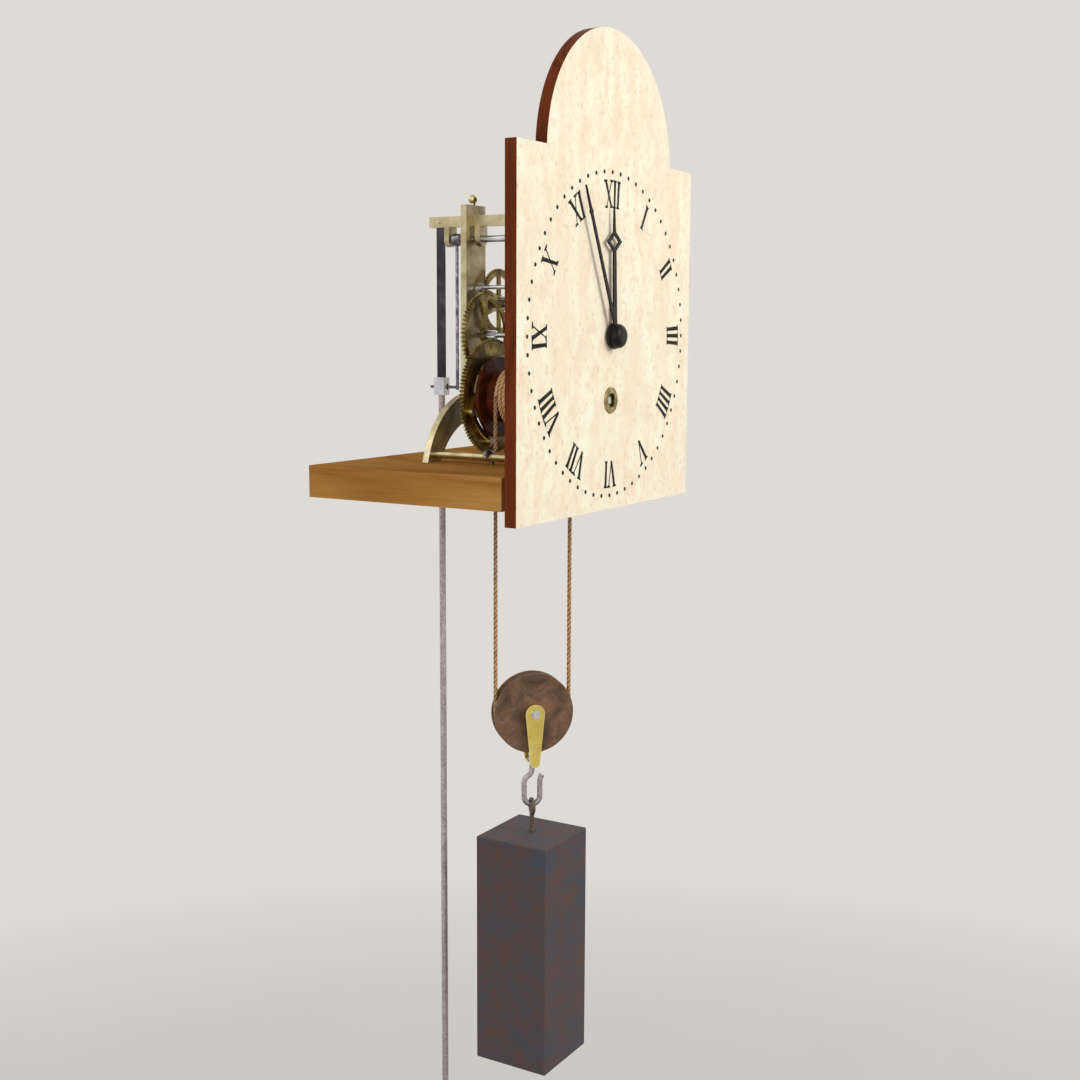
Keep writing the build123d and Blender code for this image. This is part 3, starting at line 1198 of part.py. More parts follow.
# Minute hand: blued steel, slender, with a bead near the boss and a collar below the point
MINUTE_BAR = 1.9
BEAD_AT = 25.0
BEAD_R = 2.8
COLLAR_AT = 111.5
COLLAR_R = 2.4
HUB_STEP = 0.7
HAND_GAP = 0.5            # between the two hands' hubs
MINUTE_HUB_R = HAND_HUB_R - HUB_STEP
MINUTE_HUB_BACK = -(HOUR_HAND_OUT + HAND_GAP)
with BuildPart() as minute_hand:
    with BuildSketch(hand_plane(HAND_THICK - MINUTE_HAND_OUT, MINUTE_HAND_ANGLE)):
        Polygon(
            (-MINUTE_BAR, 0),
            (-MINUTE_BAR * HAND_TAPER, COLLAR_AT),
            (-HAND_POINT, MINUTE_HAND_LONG),
            (HAND_POINT, MINUTE_HAND_LONG),
            (MINUTE_BAR * HAND_TAPER, COLLAR_AT),
            (MINUTE_BAR, 0),
            align=None,
        )
        with Locations((0, BEAD_AT)):
            Circle(BEAD_R)
        with Locations((0, COLLAR_AT)):
            Circle(COLLAR_R)
    extrude(amount=HAND_THICK)
    turned(0, CENTRE_Z, (-MINUTE_HAND_OUT, MINUTE_HUB_BACK, MINUTE_HUB_R))
    bored(0, CENTRE_Z, -MINUTE_HAND_OUT, MINUTE_HUB_BACK, CANNON_PIPE_R + SEATED)
minute_hand.part.label = "minute_hand"
export_step(minute_hand.part, "parts/minute_hand.step")

# Hand boss: domed black nut that holds the minute hand on
BOSS_DOME = 5.2
with BuildPart() as hand_boss:
    turned(0, CENTRE_Z, (BOSS_FRONT, -MINUTE_HAND_OUT, MINUTE_HUB_R))
    fillet(hand_boss.edges().group_by(Axis.Y)[0], radius=BOSS_DOME)
    bored(0, CENTRE_Z, CENTRE_FRONT - AIR, -MINUTE_HAND_OUT, CANNON_BORE_R)
hand_boss.part.label = "hand_boss"
export_step(hand_boss.part, "parts/hand_boss.step")

# The pulley hangs aslant, in line with the two falls of the line
FALL_X = LINE_X / PULLEY_LINE_R
FALL_Y = -LINE_SPREAD / PULLEY_LINE_R
PULLEY_MIDDLE = (0, DIAL_FRONT_Y + LINE_MIDDLE, -PULLEY_DROP)
PULLEY_FACE = Plane(origin=PULLEY_MIDDLE, x_dir=(FALL_X, FALL_Y, 0), z_dir=(FALL_Y, -FALL_X, 0))
PULLEY_EDGE = Plane(origin=PULLEY_MIDDLE, x_dir=(FALL_Y, -FALL_X, 0), z_dir=(-FALL_X, -FALL_Y, 0))
PULLEY_AXIS = Axis(PULLEY_MIDDLE, (FALL_Y, -FALL_X, 0))

# Line: gut line from the drum, down round the pulley and up to its knot on the seatboard
with BuildPart() as line_falls:
    with BuildLine(PULLEY_FACE) as fall:
        Line((-PULLEY_LINE_R, BARREL_Z + PULLEY_DROP), (-PULLEY_LINE_R, 0))
        ThreePointArc((-PULLEY_LINE_R, 0), (0, -PULLEY_LINE_R), (PULLEY_LINE_R, 0))
        Line((PULLEY_LINE_R, 0), (PULLEY_LINE_R, SEAT_TOP + PULLEY_DROP))
    with BuildSketch(Plane(origin=fall.line @ 0, z_dir=fall.line % 0)):
        Circle(LINE_R)
    sweep(path=fall.line)
line_falls.part.label = "line_falls"
export_step(line_falls.part, "parts/line_falls.step")

# Line knot: the fixed end, knotted above its hole in the seatboard
KNOT_R = 5.5
KNOT_TALL = 8.0
KNOT_ROUND = 3.2
with BuildPart() as line_knot:
    with BuildSketch(level(SEAT_TOP, LINE_X, FIXED_LINE_DEPTH)):
        Circle(KNOT_R)
    extrude(amount=KNOT_TALL)
    fillet(line_knot.edges().filter_by(GeomType.CIRCLE), radius=KNOT_ROUND)
line_knot.part.label = "line_knot"
export_step(line_knot.part, "parts/line_knot.step")

# Pulley: turned wooden sheave with a round groove for the line
PULLEY_LIP = 1.6
with BuildPart() as pulley:
    with BuildSketch(PULLEY_EDGE):
        with BuildLine():
            lip = PULLEY_THICK / 2 - PULLEY_LIP
            Polyline(
                (-lip, PULLEY_R),
                (-PULLEY_THICK / 2, PULLEY_R),
                (-PULLEY_THICK / 2, AXLE_R + RUN),
                (PULLEY_THICK / 2, AXLE_R + RUN),
                (PULLEY_THICK / 2, PULLEY_R),
                (lip, PULLEY_R),
            )
            ThreePointArc((-lip, PULLEY_R), (0, PULLEY_GROOVE_R), (lip, PULLEY_R))
        make_face()
    revolve(axis=PULLEY_AXIS)
pulley.part.label = "pulley"
export_step(pulley.part, "parts/pulley.step")

# Pulley stirrup: brass strap bent round the pulley, its cheeks bored for the axle
CHEEK_IN = PULLEY_THICK / 2 + STIRRUP_GAP
CHEEK_OUT = CHEEK_IN + STIRRUP_THICK
BRIDGE_TALL = 4.5
BRIDGE_TOP = BRIDGE_TALL - STIRRUP_LONG
with BuildPart() as pulley_stirrup:
    with BuildSketch(PULLEY_FACE):
        Circle(STIRRUP_END_R)
        with Locations((0, STIRRUP_WAIST / 2 - STIRRUP_LONG)):
            Circle(STIRRUP_WAIST / 2)
        make_hull()
    extrude(amount=CHEEK_OUT, both=True)
    with BuildSketch(PULLEY_FACE):
        with Locations((0, BRIDGE_TOP)):
            Rectangle(4 * STIRRUP_END_R, 2 * STIRRUP_LONG, align=(Align.CENTER, Align.MIN))
    extrude(amount=CHEEK_IN, both=True, mode=Mode.SUBTRACT)
    with BuildSketch(PULLEY_FACE):
        Circle(AXLE_R + SEATED)
    extrude(amount=CHEEK_OUT, both=True, mode=Mode.SUBTRACT)
    with BuildSketch(level(-PULLEY_DROP - STIRRUP_LONG, 0, LINE_MIDDLE)):
        Circle(HOOK_R + RUN)
    extrude(amount=BRIDGE_TALL, mode=Mode.SUBTRACT)
pulley_stirrup.part.label = "pulley_stirrup"
export_step(pulley_stirrup.part, "parts/pulley_stirrup.step")

# Pulley axle: steel pin with riveted heads outside the cheeks
AXLE_HEAD = 1.4
AXLE_HEAD_R = 4.2
with BuildPart() as pulley_axle:
    with BuildSketch(PULLEY_FACE):
        Circle(AXLE_R)
    extrude(amount=CHEEK_OUT, both=True)
    for out in (1, -1):
        with BuildSketch(PULLEY_FACE.offset(out * CHEEK_OUT)):
            Circle(AXLE_HEAD_R)
        extrude(amount=out * AXLE_HEAD)
pulley_axle.part.label = "pulley_axle"
export_step(pulley_axle.part, "parts/pulley_axle.step")

# Weight hook: bent steel wire, swivelling in the stirrup under a riveted head
HOOK_HEAD_R = 4.4
HOOK_HEAD = 2.6
HOOK_STRAIGHT = 4.0       # straight neck under the stirrup
HOOK_LONG = 30.0          # stirrup to the middle of the bottom bend
HOOK_LIP = 13.5           # straight side up to the tip's flare
HOOK_FLARE = 2.2
HOOK_FLARE_TALL = 6.5
HOOK_NECK = STIRRUP_LONG + HOOK_STRAIGHT
HOOK_SWAY = math.radians(60)
HOOK_SIDE = HOOK_NECK + 2 * HOOK_BEND_R * math.sin(HOOK_SWAY)
HOOK_BELLY = STIRRUP_LONG + HOOK_LONG
HOOK_TIP = HOOK_BELLY - HOOK_LIP
with BuildPart() as weight_hook:
    with BuildLine(PULLEY_FACE) as wire:
        Line((0, BRIDGE_TOP + AIR), (0, -HOOK_NECK))
        sway = (
            HOOK_BEND_R * (math.cos(HOOK_SWAY) - 1),
            -HOOK_NECK - HOOK_BEND_R * math.sin(HOOK_SWAY),
        )
        first = TangentArc((0, -HOOK_NECK), sway, tangent=Vector(0, 0, -1))
        TangentArc(sway, (-HOOK_BEND_R, -HOOK_SIDE), tangent=first % 1)
        Line((-HOOK_BEND_R, -HOOK_SIDE), (-HOOK_BEND_R, -HOOK_BELLY))
        ThreePointArc(
            (-HOOK_BEND_R, -HOOK_BELLY),
            (0, -HOOK_BELLY - HOOK_BEND_R),
            (HOOK_BEND_R, -HOOK_BELLY),
        )
        Line((HOOK_BEND_R, -HOOK_BELLY), (HOOK_BEND_R, -HOOK_TIP))
        TangentArc(
            (HOOK_BEND_R, -HOOK_TIP),
            (HOOK_BEND_R + HOOK_FLARE, HOOK_FLARE_TALL - HOOK_TIP),
            tangent=Vector(0, 0, 1),
        )
    with BuildSketch(Plane(origin=wire.line @ 0, z_dir=wire.line % 0)):
        Circle(HOOK_R)
    sweep(path=wire.line)
    with BuildSketch(level(-PULLEY_DROP + BRIDGE_TOP + AIR, 0, LINE_MIDDLE)):
        Circle(HOOK_HEAD_R)
    extrude(amount=HOOK_HEAD)
weight_hook.part.label = "weight_hook"
export_step(weight_hook.part, "parts/weight_hook.step")

# Weight eye: steel ring and shank let into the weight, threaded on the hook square to it
EYE_SHAKE = 0.1
HOOK_INSIDE = -PULLEY_DROP - HOOK_BELLY - HOOK_BEND_R + HOOK_R
EYE_Z = HOOK_INSIDE + EYE_R + EYE_SHAKE - EYE_BEND_R
EYE_SHANK_R = 2.2
EYE_SEAT = 12.0
WEIGHT_TOP = -WEIGHT_DROP
with BuildPart() as weight_eye:
    with BuildSketch(
        Plane(
            origin=(0, DIAL_FRONT_Y + LINE_MIDDLE, EYE_Z + EYE_BEND_R),
            x_dir=(0, 0, 1),
            z_dir=(FALL_Y, -FALL_X, 0),
        )
    ):
        Circle(EYE_R)
    revolve(axis=Axis((0, DIAL_FRONT_Y + LINE_MIDDLE, EYE_Z), (FALL_X, FALL_Y, 0)))
    with BuildSketch(level(WEIGHT_TOP - EYE_SEAT, 0, LINE_MIDDLE)):
        Circle(EYE_SHANK_R)
    extrude(amount=EYE_Z - EYE_BEND_R - WEIGHT_TOP + EYE_SEAT)
weight_eye.part.label = "weight_eye"
export_step(weight_eye.part, "parts/weight_eye.step")

# Weight: square cast-iron block
WEIGHT_EDGE = 0.8
with BuildPart() as weight_block:
    with BuildSketch(level(WEIGHT_TOP - WEIGHT_TALL, 0, LINE_MIDDLE)):
        Rectangle(WEIGHT_SIDE, WEIGHT_SIDE)
    extrude(amount=WEIGHT_TALL)
    chamfer(weight_block.edges(), length=WEIGHT_EDGE)
    with BuildSketch(level(WEIGHT_TOP - EYE_SEAT, 0, LINE_MIDDLE)):
        Circle(EYE_SHANK_R + SEATED)
    extrude(amount=EYE_SEAT, mode=Mode.SUBTRACT)
weight_block.part.label = "weight_block"
export_step(weight_block.part, "parts/weight_block.step")
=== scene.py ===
import math

import bmesh
import bpy
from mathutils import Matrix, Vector


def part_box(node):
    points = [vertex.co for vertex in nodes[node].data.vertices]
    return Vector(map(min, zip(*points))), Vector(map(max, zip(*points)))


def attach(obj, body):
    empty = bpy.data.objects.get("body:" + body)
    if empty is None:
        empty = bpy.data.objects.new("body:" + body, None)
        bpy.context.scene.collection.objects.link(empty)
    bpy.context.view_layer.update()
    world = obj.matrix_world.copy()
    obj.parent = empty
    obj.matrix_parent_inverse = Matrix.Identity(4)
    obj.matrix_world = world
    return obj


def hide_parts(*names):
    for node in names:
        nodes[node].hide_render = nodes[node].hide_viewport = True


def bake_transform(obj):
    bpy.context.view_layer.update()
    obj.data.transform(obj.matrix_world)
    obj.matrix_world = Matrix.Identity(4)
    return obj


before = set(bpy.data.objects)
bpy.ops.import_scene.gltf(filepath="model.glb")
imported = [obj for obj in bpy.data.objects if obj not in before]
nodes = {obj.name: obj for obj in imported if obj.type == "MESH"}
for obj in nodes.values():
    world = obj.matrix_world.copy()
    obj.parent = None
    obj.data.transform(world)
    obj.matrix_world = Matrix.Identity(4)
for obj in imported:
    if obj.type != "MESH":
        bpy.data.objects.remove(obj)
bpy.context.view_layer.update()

scene = bpy.context.scene

# The studio that the clock is shown in: a plain pale floor below the weight's lowest place, four
# soft lamps and an even pale sky. The camera stands where the photograph was taken from.

FLOOR_Z = -1.7
FLOOR_RADIUS = 30.0
FLOOR_SIDES = 64
HAZE_STARTS = 1.9
HAZE_ENDS = 3.9
BACKDROP = "dedbd6"
SKY_LIGHT = "eceef0"
SKY_STRENGTH = 0.38
# Each lamp: its name, its place, what it is aimed at, its width and its watts.
LAMPS = (
    ("key_lamp", (0.45, -2.6, 1.15), (0.0, -0.05, 0.1), 1.7, 50),
    ("fill_lamp", (-2.4, -0.5, 0.9), (0.0, 0.0, -0.1), 2.3, 26),
    ("back_lamp", (-0.8, 2.2, 1.1), (0.0, 0.0, 0.0), 2.3, 24),
    ("side_lamp", (2.4, 0.3, 0.8), (0.0, 0.0, -0.1), 2.3, 20),
)
CAMERA_PLACE = (-1.1318, -0.7234, 0.1442)
CAMERA_YAW = 1.028
CAMERA_PITCH = -0.142
CAMERA_ROLL = -0.004
CAMERA_LENS = 49.7
SENSOR_WIDE = 36.0


def tone(code):
    """A colour as a painter writes it, six hex digits, in the linear values that shaders take."""
    parts = [int(code[at : at + 2], 16) / 255 for at in (0, 2, 4)]
    linear = [p / 12.92 if p <= 0.04045 else ((p + 0.055) / 1.055) ** 2.4 for p in parts]
    return (*linear, 1.0)


def new_finish(name):
    """An empty finish: its material, its node tree and its surface shader."""
    finish = bpy.data.materials.new(name)
    finish.use_nodes = True
    tree = finish.node_tree
    return finish, tree, tree.nodes["Principled BSDF"]


def feed(tree, node, fed):
    """Gives a node its inputs: a socket is linked to it, and a plain value is set."""
    for name, value in fed.items():
        if isinstance(value, bpy.types.NodeSocket):
            tree.links.new(value, node.inputs[name])
        else:
            node.inputs[name].default_value = value


def step(tree, kind, fed=None, **settings):
    """One node of a finish, with its settings and what is fed to its inputs."""
    node = tree.nodes.new(kind)
    for key, value in settings.items():
        setattr(node, key, value)
    feed(tree, node, fed or {})
    return node


def grades(tree, value, *stops):
    """Colours laid along a value: each stop is a place from 0 to 1 and a colour's six digits."""
    ramp = step(tree, "ShaderNodeValToRGB", {"Fac": value})
    for place, _ in stops[2:]:
        ramp.color_ramp.elements.new(place)
    for element, (place, code) in zip(ramp.color_ramp.elements, stops):
        element.position = place
        element.color = tone(code)
    return ramp.outputs["Color"]


def cloud(tree, scale, stretch=(1.0, 1.0, 1.0), detail=4.0, rough=0.55, twist=0.0):
    """Cloudy variation over a piece, scale in patches a metre, squeezed along the stretch."""
    place = step(tree, "ShaderNodeTexCoord").outputs["Object"]
    spread = step(tree, "ShaderNodeMapping", {"Vector": place, "Scale": stretch})
    fed = {"Vector": spread.outputs["Vector"], "Scale": scale, "Detail": detail}
    fed.update({"Roughness": rough, "Distortion": twist})
    return step(tree, "ShaderNodeTexNoise", fed).outputs["Fac"]


def level(tree, value, low, high, start=0.0, end=1.0):
    """A value moved from the range start to end into the range low to high."""
    fed = {"Value": value, "From Min": start, "From Max": end, "To Min": low, "To Max": high}
    return step(tree, "ShaderNodeMapRange", fed).outputs["Result"]


def worked(tree, operation, one, two):
    """Two values put together by a sum, product or the like."""
    return step(tree, "ShaderNodeMath", {0: one, 1: two}, operation=operation).outputs["Value"]


def only_shown(tree):
    """1 for what the camera, a mirror or glass sees, and 0 for what only gives light."""
    seen = step(tree, "ShaderNodeLightPath").outputs
    clear = worked(tree, "MAXIMUM", seen["Is Glossy Ray"], seen["Is Transmission Ray"])
    return worked(tree, "MAXIMUM", seen["Is Camera Ray"], clear)


scene.view_settings.view_transform = "Standard"

floor_mesh = bpy.data.meshes.new("studio_floor")
shape = bmesh.new()
bmesh.ops.create_circle(shape, cap_ends=True, segments=FLOOR_SIDES, radius=FLOOR_RADIUS)
bmesh.ops.translate(shape, verts=shape.verts, vec=(0, 0, FLOOR_Z))
shape.to_mesh(floor_mesh)
shape.free()
floor = bpy.data.objects.new("studio_floor", floor_mesh)
scene.collection.objects.link(floor)
floor_paint, tree, shader = new_finish("studio_floor_paint")
pale = grades(tree, cloud(tree, scale=3.0), (0.3, "dad7d2"), (0.7, "dfdcd7"))
feed(tree, shader, {"Base Color": pale, "Roughness": 0.8, "Specular IOR Level": 0.2})
place = step(tree, "ShaderNodeTexCoord").outputs["Object"]
away = step(tree, "ShaderNodeVectorMath", {0: place}, operation="LENGTH").outputs["Value"]
far = level(tree, away, low=0.0, high=1.0, start=HAZE_STARTS, end=HAZE_ENDS)
hazy = worked(tree, "MULTIPLY", far, only_shown(tree))
haze = step(tree, "ShaderNodeEmission", {"Color": tone(BACKDROP), "Strength": 1.0})
both = step(tree, "ShaderNodeMixShader", {0: hazy, 1: shader.outputs[0], 2: haze.outputs[0]})
feed(tree, tree.nodes["Material Output"], {"Surface": both.outputs[0]})
floor_mesh.materials.append(floor_paint)

sky = bpy.data.worlds.new("studio_sky")
scene.world = sky
sky.use_nodes = True
tree = sky.node_tree
lighting = step(tree, "ShaderNodeBackground", {"Color": tone(SKY_LIGHT), "Strength": SKY_STRENGTH})
backdrop = step(tree, "ShaderNodeBackground", {"Color": tone(BACKDROP), "Strength": 1.0})
skies = {0: only_shown(tree), 1: lighting.outputs[0], 2: backdrop.outputs[0]}
both = step(tree, "ShaderNodeMixShader", skies)
feed(tree, tree.nodes["World Output"], {"Surface": both.outputs[0]})

for name, place, aim, width, watts in LAMPS:
    light = bpy.data.lights.new(name, "AREA")
    light.shape = "DISK"
    light.size = width
    light.energy = watts
    lamp = bpy.data.objects.new(name, light)
    lamp.location = place
    lamp.rotation_euler = (Vector(aim) - Vector(place)).to_track_quat("-Z", "Y").to_euler()
    scene.collection.objects.link(lamp)

view = bpy.data.cameras.new("photo_camera")
view.lens = CAMERA_LENS
view.sensor_width = SENSOR_WIDE
camera = bpy.data.objects.new("photo_camera", view)
camera.location = CAMERA_PLACE
camera.rotation_euler = (math.pi / 2 + CAMERA_PITCH, CAMERA_ROLL, -CAMERA_YAW)
scene.collection.objects.link(camera)
scene.camera = camera

# The seatboard that the movement stands on: one plank of planed pine, 27 mm thick, with its
# grain running from front to back. Slots are cut through it for the line and the pendulum.

PLANK_TONES = ("926129", "aa773c", "be8c4d")
PLANK_FIGURE = (1.0, 0.3, 2.6)
PLANK_FIBRE = (1.0, 0.03, 1.0)
FIBRE_SHARE = 0.34
BRUISE_WIDE = 0.0016
EDGE_RAYS = 6
EDGE_LEANS = 0.78
FACE_LEANS = 0.985


def relief(tree, shader, height, strength, depth):
    """Raises the surface by a value, depth in metres."""
    bump = step(tree, "ShaderNodeBump", {"Height": height, "Strength": strength, "Distance": depth})
    feed(tree, shader, {"Normal": bump.outputs["Normal"]})


def blended(tree, share, under, over, blend_type="MIX"):
    """One colour laid over another by a share."""
    layers = {0: share, 6: under, 7: over}
    return step(tree, "ShaderNodeMix", layers, data_type="RGBA", blend_type=blend_type).outputs[2]


def worn_edges(tree, width):
    """1 along the sharp edges of a piece, within the width, and 0 on its faces."""
    eased = step(tree, "ShaderNodeBevel", {"Radius": width}, samples=EDGE_RAYS).outputs["Normal"]
    flat = step(tree, "ShaderNodeNewGeometry").outputs["Normal"]
    lean = step(tree, "ShaderNodeVectorMath", {0: eased, 1: flat}, operation="DOT_PRODUCT")
    return level(tree, lean.outputs["Value"], low=1.0, high=0.0, start=EDGE_LEANS, end=FACE_LEANS)


def planed_wood(name, tones, figure, fibre, bands=9.0, spread=10.0, gloss=0.5, shine=0.0):
    """Planed wood: year rings cut along the plank, fine fibres, and bruised paler edges."""
    dark, fair, pale = tones
    finish, tree, shader = new_finish(name)
    field = cloud(tree, spread, stretch=figure, detail=1.2, rough=0.4, twist=0.25)
    rings = worked(tree, "PINGPONG", worked(tree, "MULTIPLY", field, bands), 1.0)
    strand = cloud(tree, scale=620.0, stretch=fibre, detail=5.0, rough=0.65)
    blush = level(tree, cloud(tree, scale=17.0, detail=3.0), low=0.0, high=0.5, start=0.4, end=0.7)
    ring_tone = grades(tree, rings, (0.0, dark), (0.3, fair), (0.9, pale))
    strand_tone = grades(tree, strand, (0.36, dark), (0.5, fair), (0.66, pale))
    mixed = blended(tree, FIBRE_SHARE, ring_tone, strand_tone)
    mixed = blended(tree, blush, mixed, tone(fair))
    bruised = level(tree, strand, low=0.2, high=0.75, start=0.35, end=0.65)
    edge = worked(tree, "MULTIPLY", worn_edges(tree, BRUISE_WIDE), bruised)
    colour = blended(tree, edge, mixed, tone(pale))
    rough = level(tree, strand, low=gloss - 0.1, high=gloss + 0.16, start=0.3, end=0.7)
    feed(tree, shader, {"Base Color": colour, "Roughness": rough, "Specular IOR Level": shine})
    relief(tree, shader, worked(tree, "ADD", strand, rings), strength=0.22, depth=0.0006)
    return finish


def finished(finish, *names):
    """Gives a finish to nodes of the CAD model."""
    for name in names:
        for held in nodes[name].material_slots:
            held.material = finish


plank_pine = planed_wood("seatboard_pine", PLANK_TONES, PLANK_FIGURE, PLANK_FIBRE)
finished(plank_pine, "seatboard")

# The movement's frame: two plates sawn from cast brass, filed flat and rubbed along their length,
# with riveted pillars, the bar and cocks that carry the pendulum and pallets, and the dial's feet.

PLATE_TONES = ("968a68", "bdb08c", "d8cfad")
PILLAR_TONES = ("978a62", "c2b489", "ded3ab")
BRASS_EDGE_SHARE = 0.6


def lathe_rings(tree, centre):
    """The fine rings that turning leaves round a piece's centre."""
    place = step(tree, "ShaderNodeTexCoord").outputs["Object"]
    away = step(tree, "ShaderNodeVectorMath", {0: place, 1: centre}, operation="DISTANCE")
    fed = {"W": away.outputs["Value"], "Scale": 1400.0, "Detail": 4.0, "Roughness": 0.7}
    return step(tree, "ShaderNodeTexNoise", fed, noise_dimensions="1D").outputs["Fac"]


def dressed_brass(name, tones, rough, lines, age_scale=34.0, age=(0.34, 0.5, 0.66), edge_wide=0.0006):
    """Brass rubbed along the lines or turned about a centre: thin tarnish, scratches, bright edges."""
    dull, _, bright = tones
    finish, tree, shader = new_finish(name)
    stain = cloud(tree, age_scale, detail=7.0, rough=0.62, twist=0.5)
    if isinstance(lines, Vector):
        scratch = lathe_rings(tree, lines)
    else:
        scratch = cloud(tree, scale=1300.0, stretch=lines, detail=4.0, rough=0.7)
    freckle = cloud(tree, scale=520.0, detail=3.0, rough=0.7)
    body = grades(tree, stain, *zip(age, tones))
    spots = level(tree, freckle, low=0.0, high=0.55, start=0.56, end=0.72)
    spotted = blended(tree, spots, body, tone(dull))
    edge = worked(tree, "MULTIPLY", worn_edges(tree, edge_wide), BRASS_EDGE_SHARE)
    colour = blended(tree, edge, spotted, tone(bright))
    tarnished = level(tree, stain, low=0.14, high=-0.06, start=0.3, end=0.7)
    dulled = worked(tree, "ADD", tarnished, level(tree, scratch, low=-0.07, high=0.09))
    roughened = worked(tree, "ADD", dulled, rough)
    feed(tree, shader, {"Base Color": colour, "Metallic": 1.0, "Roughness": roughened})
    relief(tree, shader, worked(tree, "ADD", scratch, freckle), strength=0.16, depth=0.0003)
    return finish


plate_brass = dressed_brass("plate_brass", PLATE_TONES, rough=0.34, lines=(1.0, 1.0, 0.05))
pillar_brass = dressed_brass("pillar_brass", PILLAR_TONES, rough=0.28, lines=(1.0, 0.4, 1.0))
finished(plate_brass, "front_plate", "back_plate", "suspension_bar", "pallet_cocks")
finished(pillar_brass, "bottom_pillars", "dial_feet", "finial")

# The train: wheels cut from cast and hammered brass sheet, crossed out with files and riveted on
# brass collets, with the cannon, minute and hour wheels that turn the hands in front.

TRAIN_WHEELS = ("great_wheel", "centre_wheel", "third_wheel", "escape_wheel")
HAND_WHEELS = ("cannon_wheel", "minute_wheel", "hour_wheel")
# The wheels' brass is darker than the plates': partly tarnish, partly painted shade for wheels standing
# between the plates.
WHEEL_TONES_TARNISH_AND_SHADE = ("4f4321", "8b7842", "c4b277")
WHEEL_AGE = (0.36, 0.52, 0.68)
WHEEL_STAINS = 46.0
COLLET_TONES = ("7b6b3a", "ab9862", "d3c48f")


def middle_of(name):
    """The middle of a node of the CAD model."""
    return sum(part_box(name), Vector()) / 2


for name in TRAIN_WHEELS + HAND_WHEELS:
    centre = middle_of(name)
    wheel_brass = dressed_brass(
        name + "_brass", WHEEL_TONES_TARNISH_AND_SHADE, rough=0.3, lines=centre, age_scale=WHEEL_STAINS, age=WHEEL_AGE
    )
    finished(wheel_brass, name)
collet_brass = dressed_brass("collet_brass", COLLET_TONES, rough=0.25, lines=(1.0, 0.1, 1.0))
finished(collet_brass, "centre_collet", "third_collet", "escape_collet", "great_key", "friction_spring")

# The arbors, pallets and crutch: steel turned and filed bright, hardened where the pinion leaves
# and pallet faces rub, with a trace of old oil in the scratches.

ARBOR_TONES = ("a9abb0", "cfd1d5", "e8e9eb")
PALLET_TONES = ("8f9197", "b9bcc2", "dddfe2")
CRUTCH_TONES = ("4d464f", "756e79", "aaa4ad")
OLD_OIL = "6a5c4c"
STEEL_EDGE = 0.0004


def turned_steel(name, tones, rough, lines, stain_scale=60.0, edge_share=0.7):
    """Steel worked bright: fine tool marks along the lines, grey bloom and brown oil stains."""
    dull, fair, bright = tones
    finish, tree, shader = new_finish(name)
    bloom = cloud(tree, stain_scale, detail=6.0, rough=0.6)
    mark = cloud(tree, scale=1500.0, stretch=lines, detail=4.0, rough=0.7)
    oil = cloud(tree, scale=140.0, detail=5.0, rough=0.7)
    body = grades(tree, bloom, (0.34, dull), (0.5, fair), (0.64, bright))
    oily = level(tree, oil, low=0.0, high=0.4, start=0.58, end=0.74)
    oiled = blended(tree, oily, body, tone(OLD_OIL))
    edge = worked(tree, "MULTIPLY", worn_edges(tree, STEEL_EDGE), edge_share)
    colour = blended(tree, edge, oiled, tone(bright))
    roughened = worked(tree, "ADD", level(tree, mark, low=-0.08, high=0.12), rough)
    feed(tree, shader, {"Base Color": colour, "Metallic": 1.0, "Roughness": roughened})
    relief(tree, shader, mark, strength=0.08, depth=0.0002)
    return finish


arbor_steel = turned_steel("arbor_steel", ARBOR_TONES, rough=0.27, lines=(1.0, 5.0, 1.0))
finished(arbor_steel, "centre_arbor", "third_arbor", "escape_arbor", "pallet_arbor", "winding_arbor")
finished(arbor_steel, "minute_stud", "suspension_pin", "click_screws")
pallet_steel = turned_steel("pallet_steel", PALLET_TONES, rough=0.28, lines=(1.0, 1.0, 0.2))
finished(pallet_steel, "anchor")
crutch_wire = turned_steel("crutch_wire", CRUTCH_TONES, rough=0.38, lines=(1.0, 1.0, 0.3), stain_scale=150.0)
finished(crutch_wire, "crutch")

# The barrel: a drum turned from red-brown hardwood with a flange at each end, rubbed with oil.
# Its steel ratchet is pinned to the back flange, and a brass click drops into the teeth.

DRUM_TONES = ("271007", "481e0d", "692f16")
DRUM_FIGURE = (1.0, 0.25, 1.0)
DRUM_FIBRE = (1.0, 0.05, 1.0)
RATCHET_TONES = ("7f7f84", "a9abb0", "d9dadd")
CLICK_TONES = ("b4943a", "dcc05a", "f8e698")
drum_wood = planed_wood(
    "barrel_hardwood", DRUM_TONES, DRUM_FIGURE, DRUM_FIBRE, bands=12.0, spread=26.0, gloss=0.36, shine=0.2
)
finished(drum_wood, "barrel_drum")
ratchet_steel = turned_steel("ratchet_steel", RATCHET_TONES, rough=0.3, lines=(1.0, 1.0, 0.3))
finished(ratchet_steel, "ratchet_wheel")
click_brass = dressed_brass("click_brass", CLICK_TONES, rough=0.23, lines=(1.0, 1.0, 0.2))
finished(click_brass, "click", "click_spring")

# The hook bolts that hold the movement down: wrought iron rod bent over the pillars and drawn
# tight below the seatboard by square nuts let into wells.

BOLT_TONES = ("3d3a39", "67625e", "98928a")
bolt_iron = turned_steel("bolt_iron", BOLT_TONES, rough=0.42, lines=(1.0, 1.0, 0.4), stain_scale=190.0)
finished(bolt_iron, "seatboard_hooks", "hook_nuts")

# The dial: a board sawn to a break arch, its front painted cream by hand in vertical strokes,
# its edges and back left as oiled red-brown wood. It is pegged to the front plate by its feet.

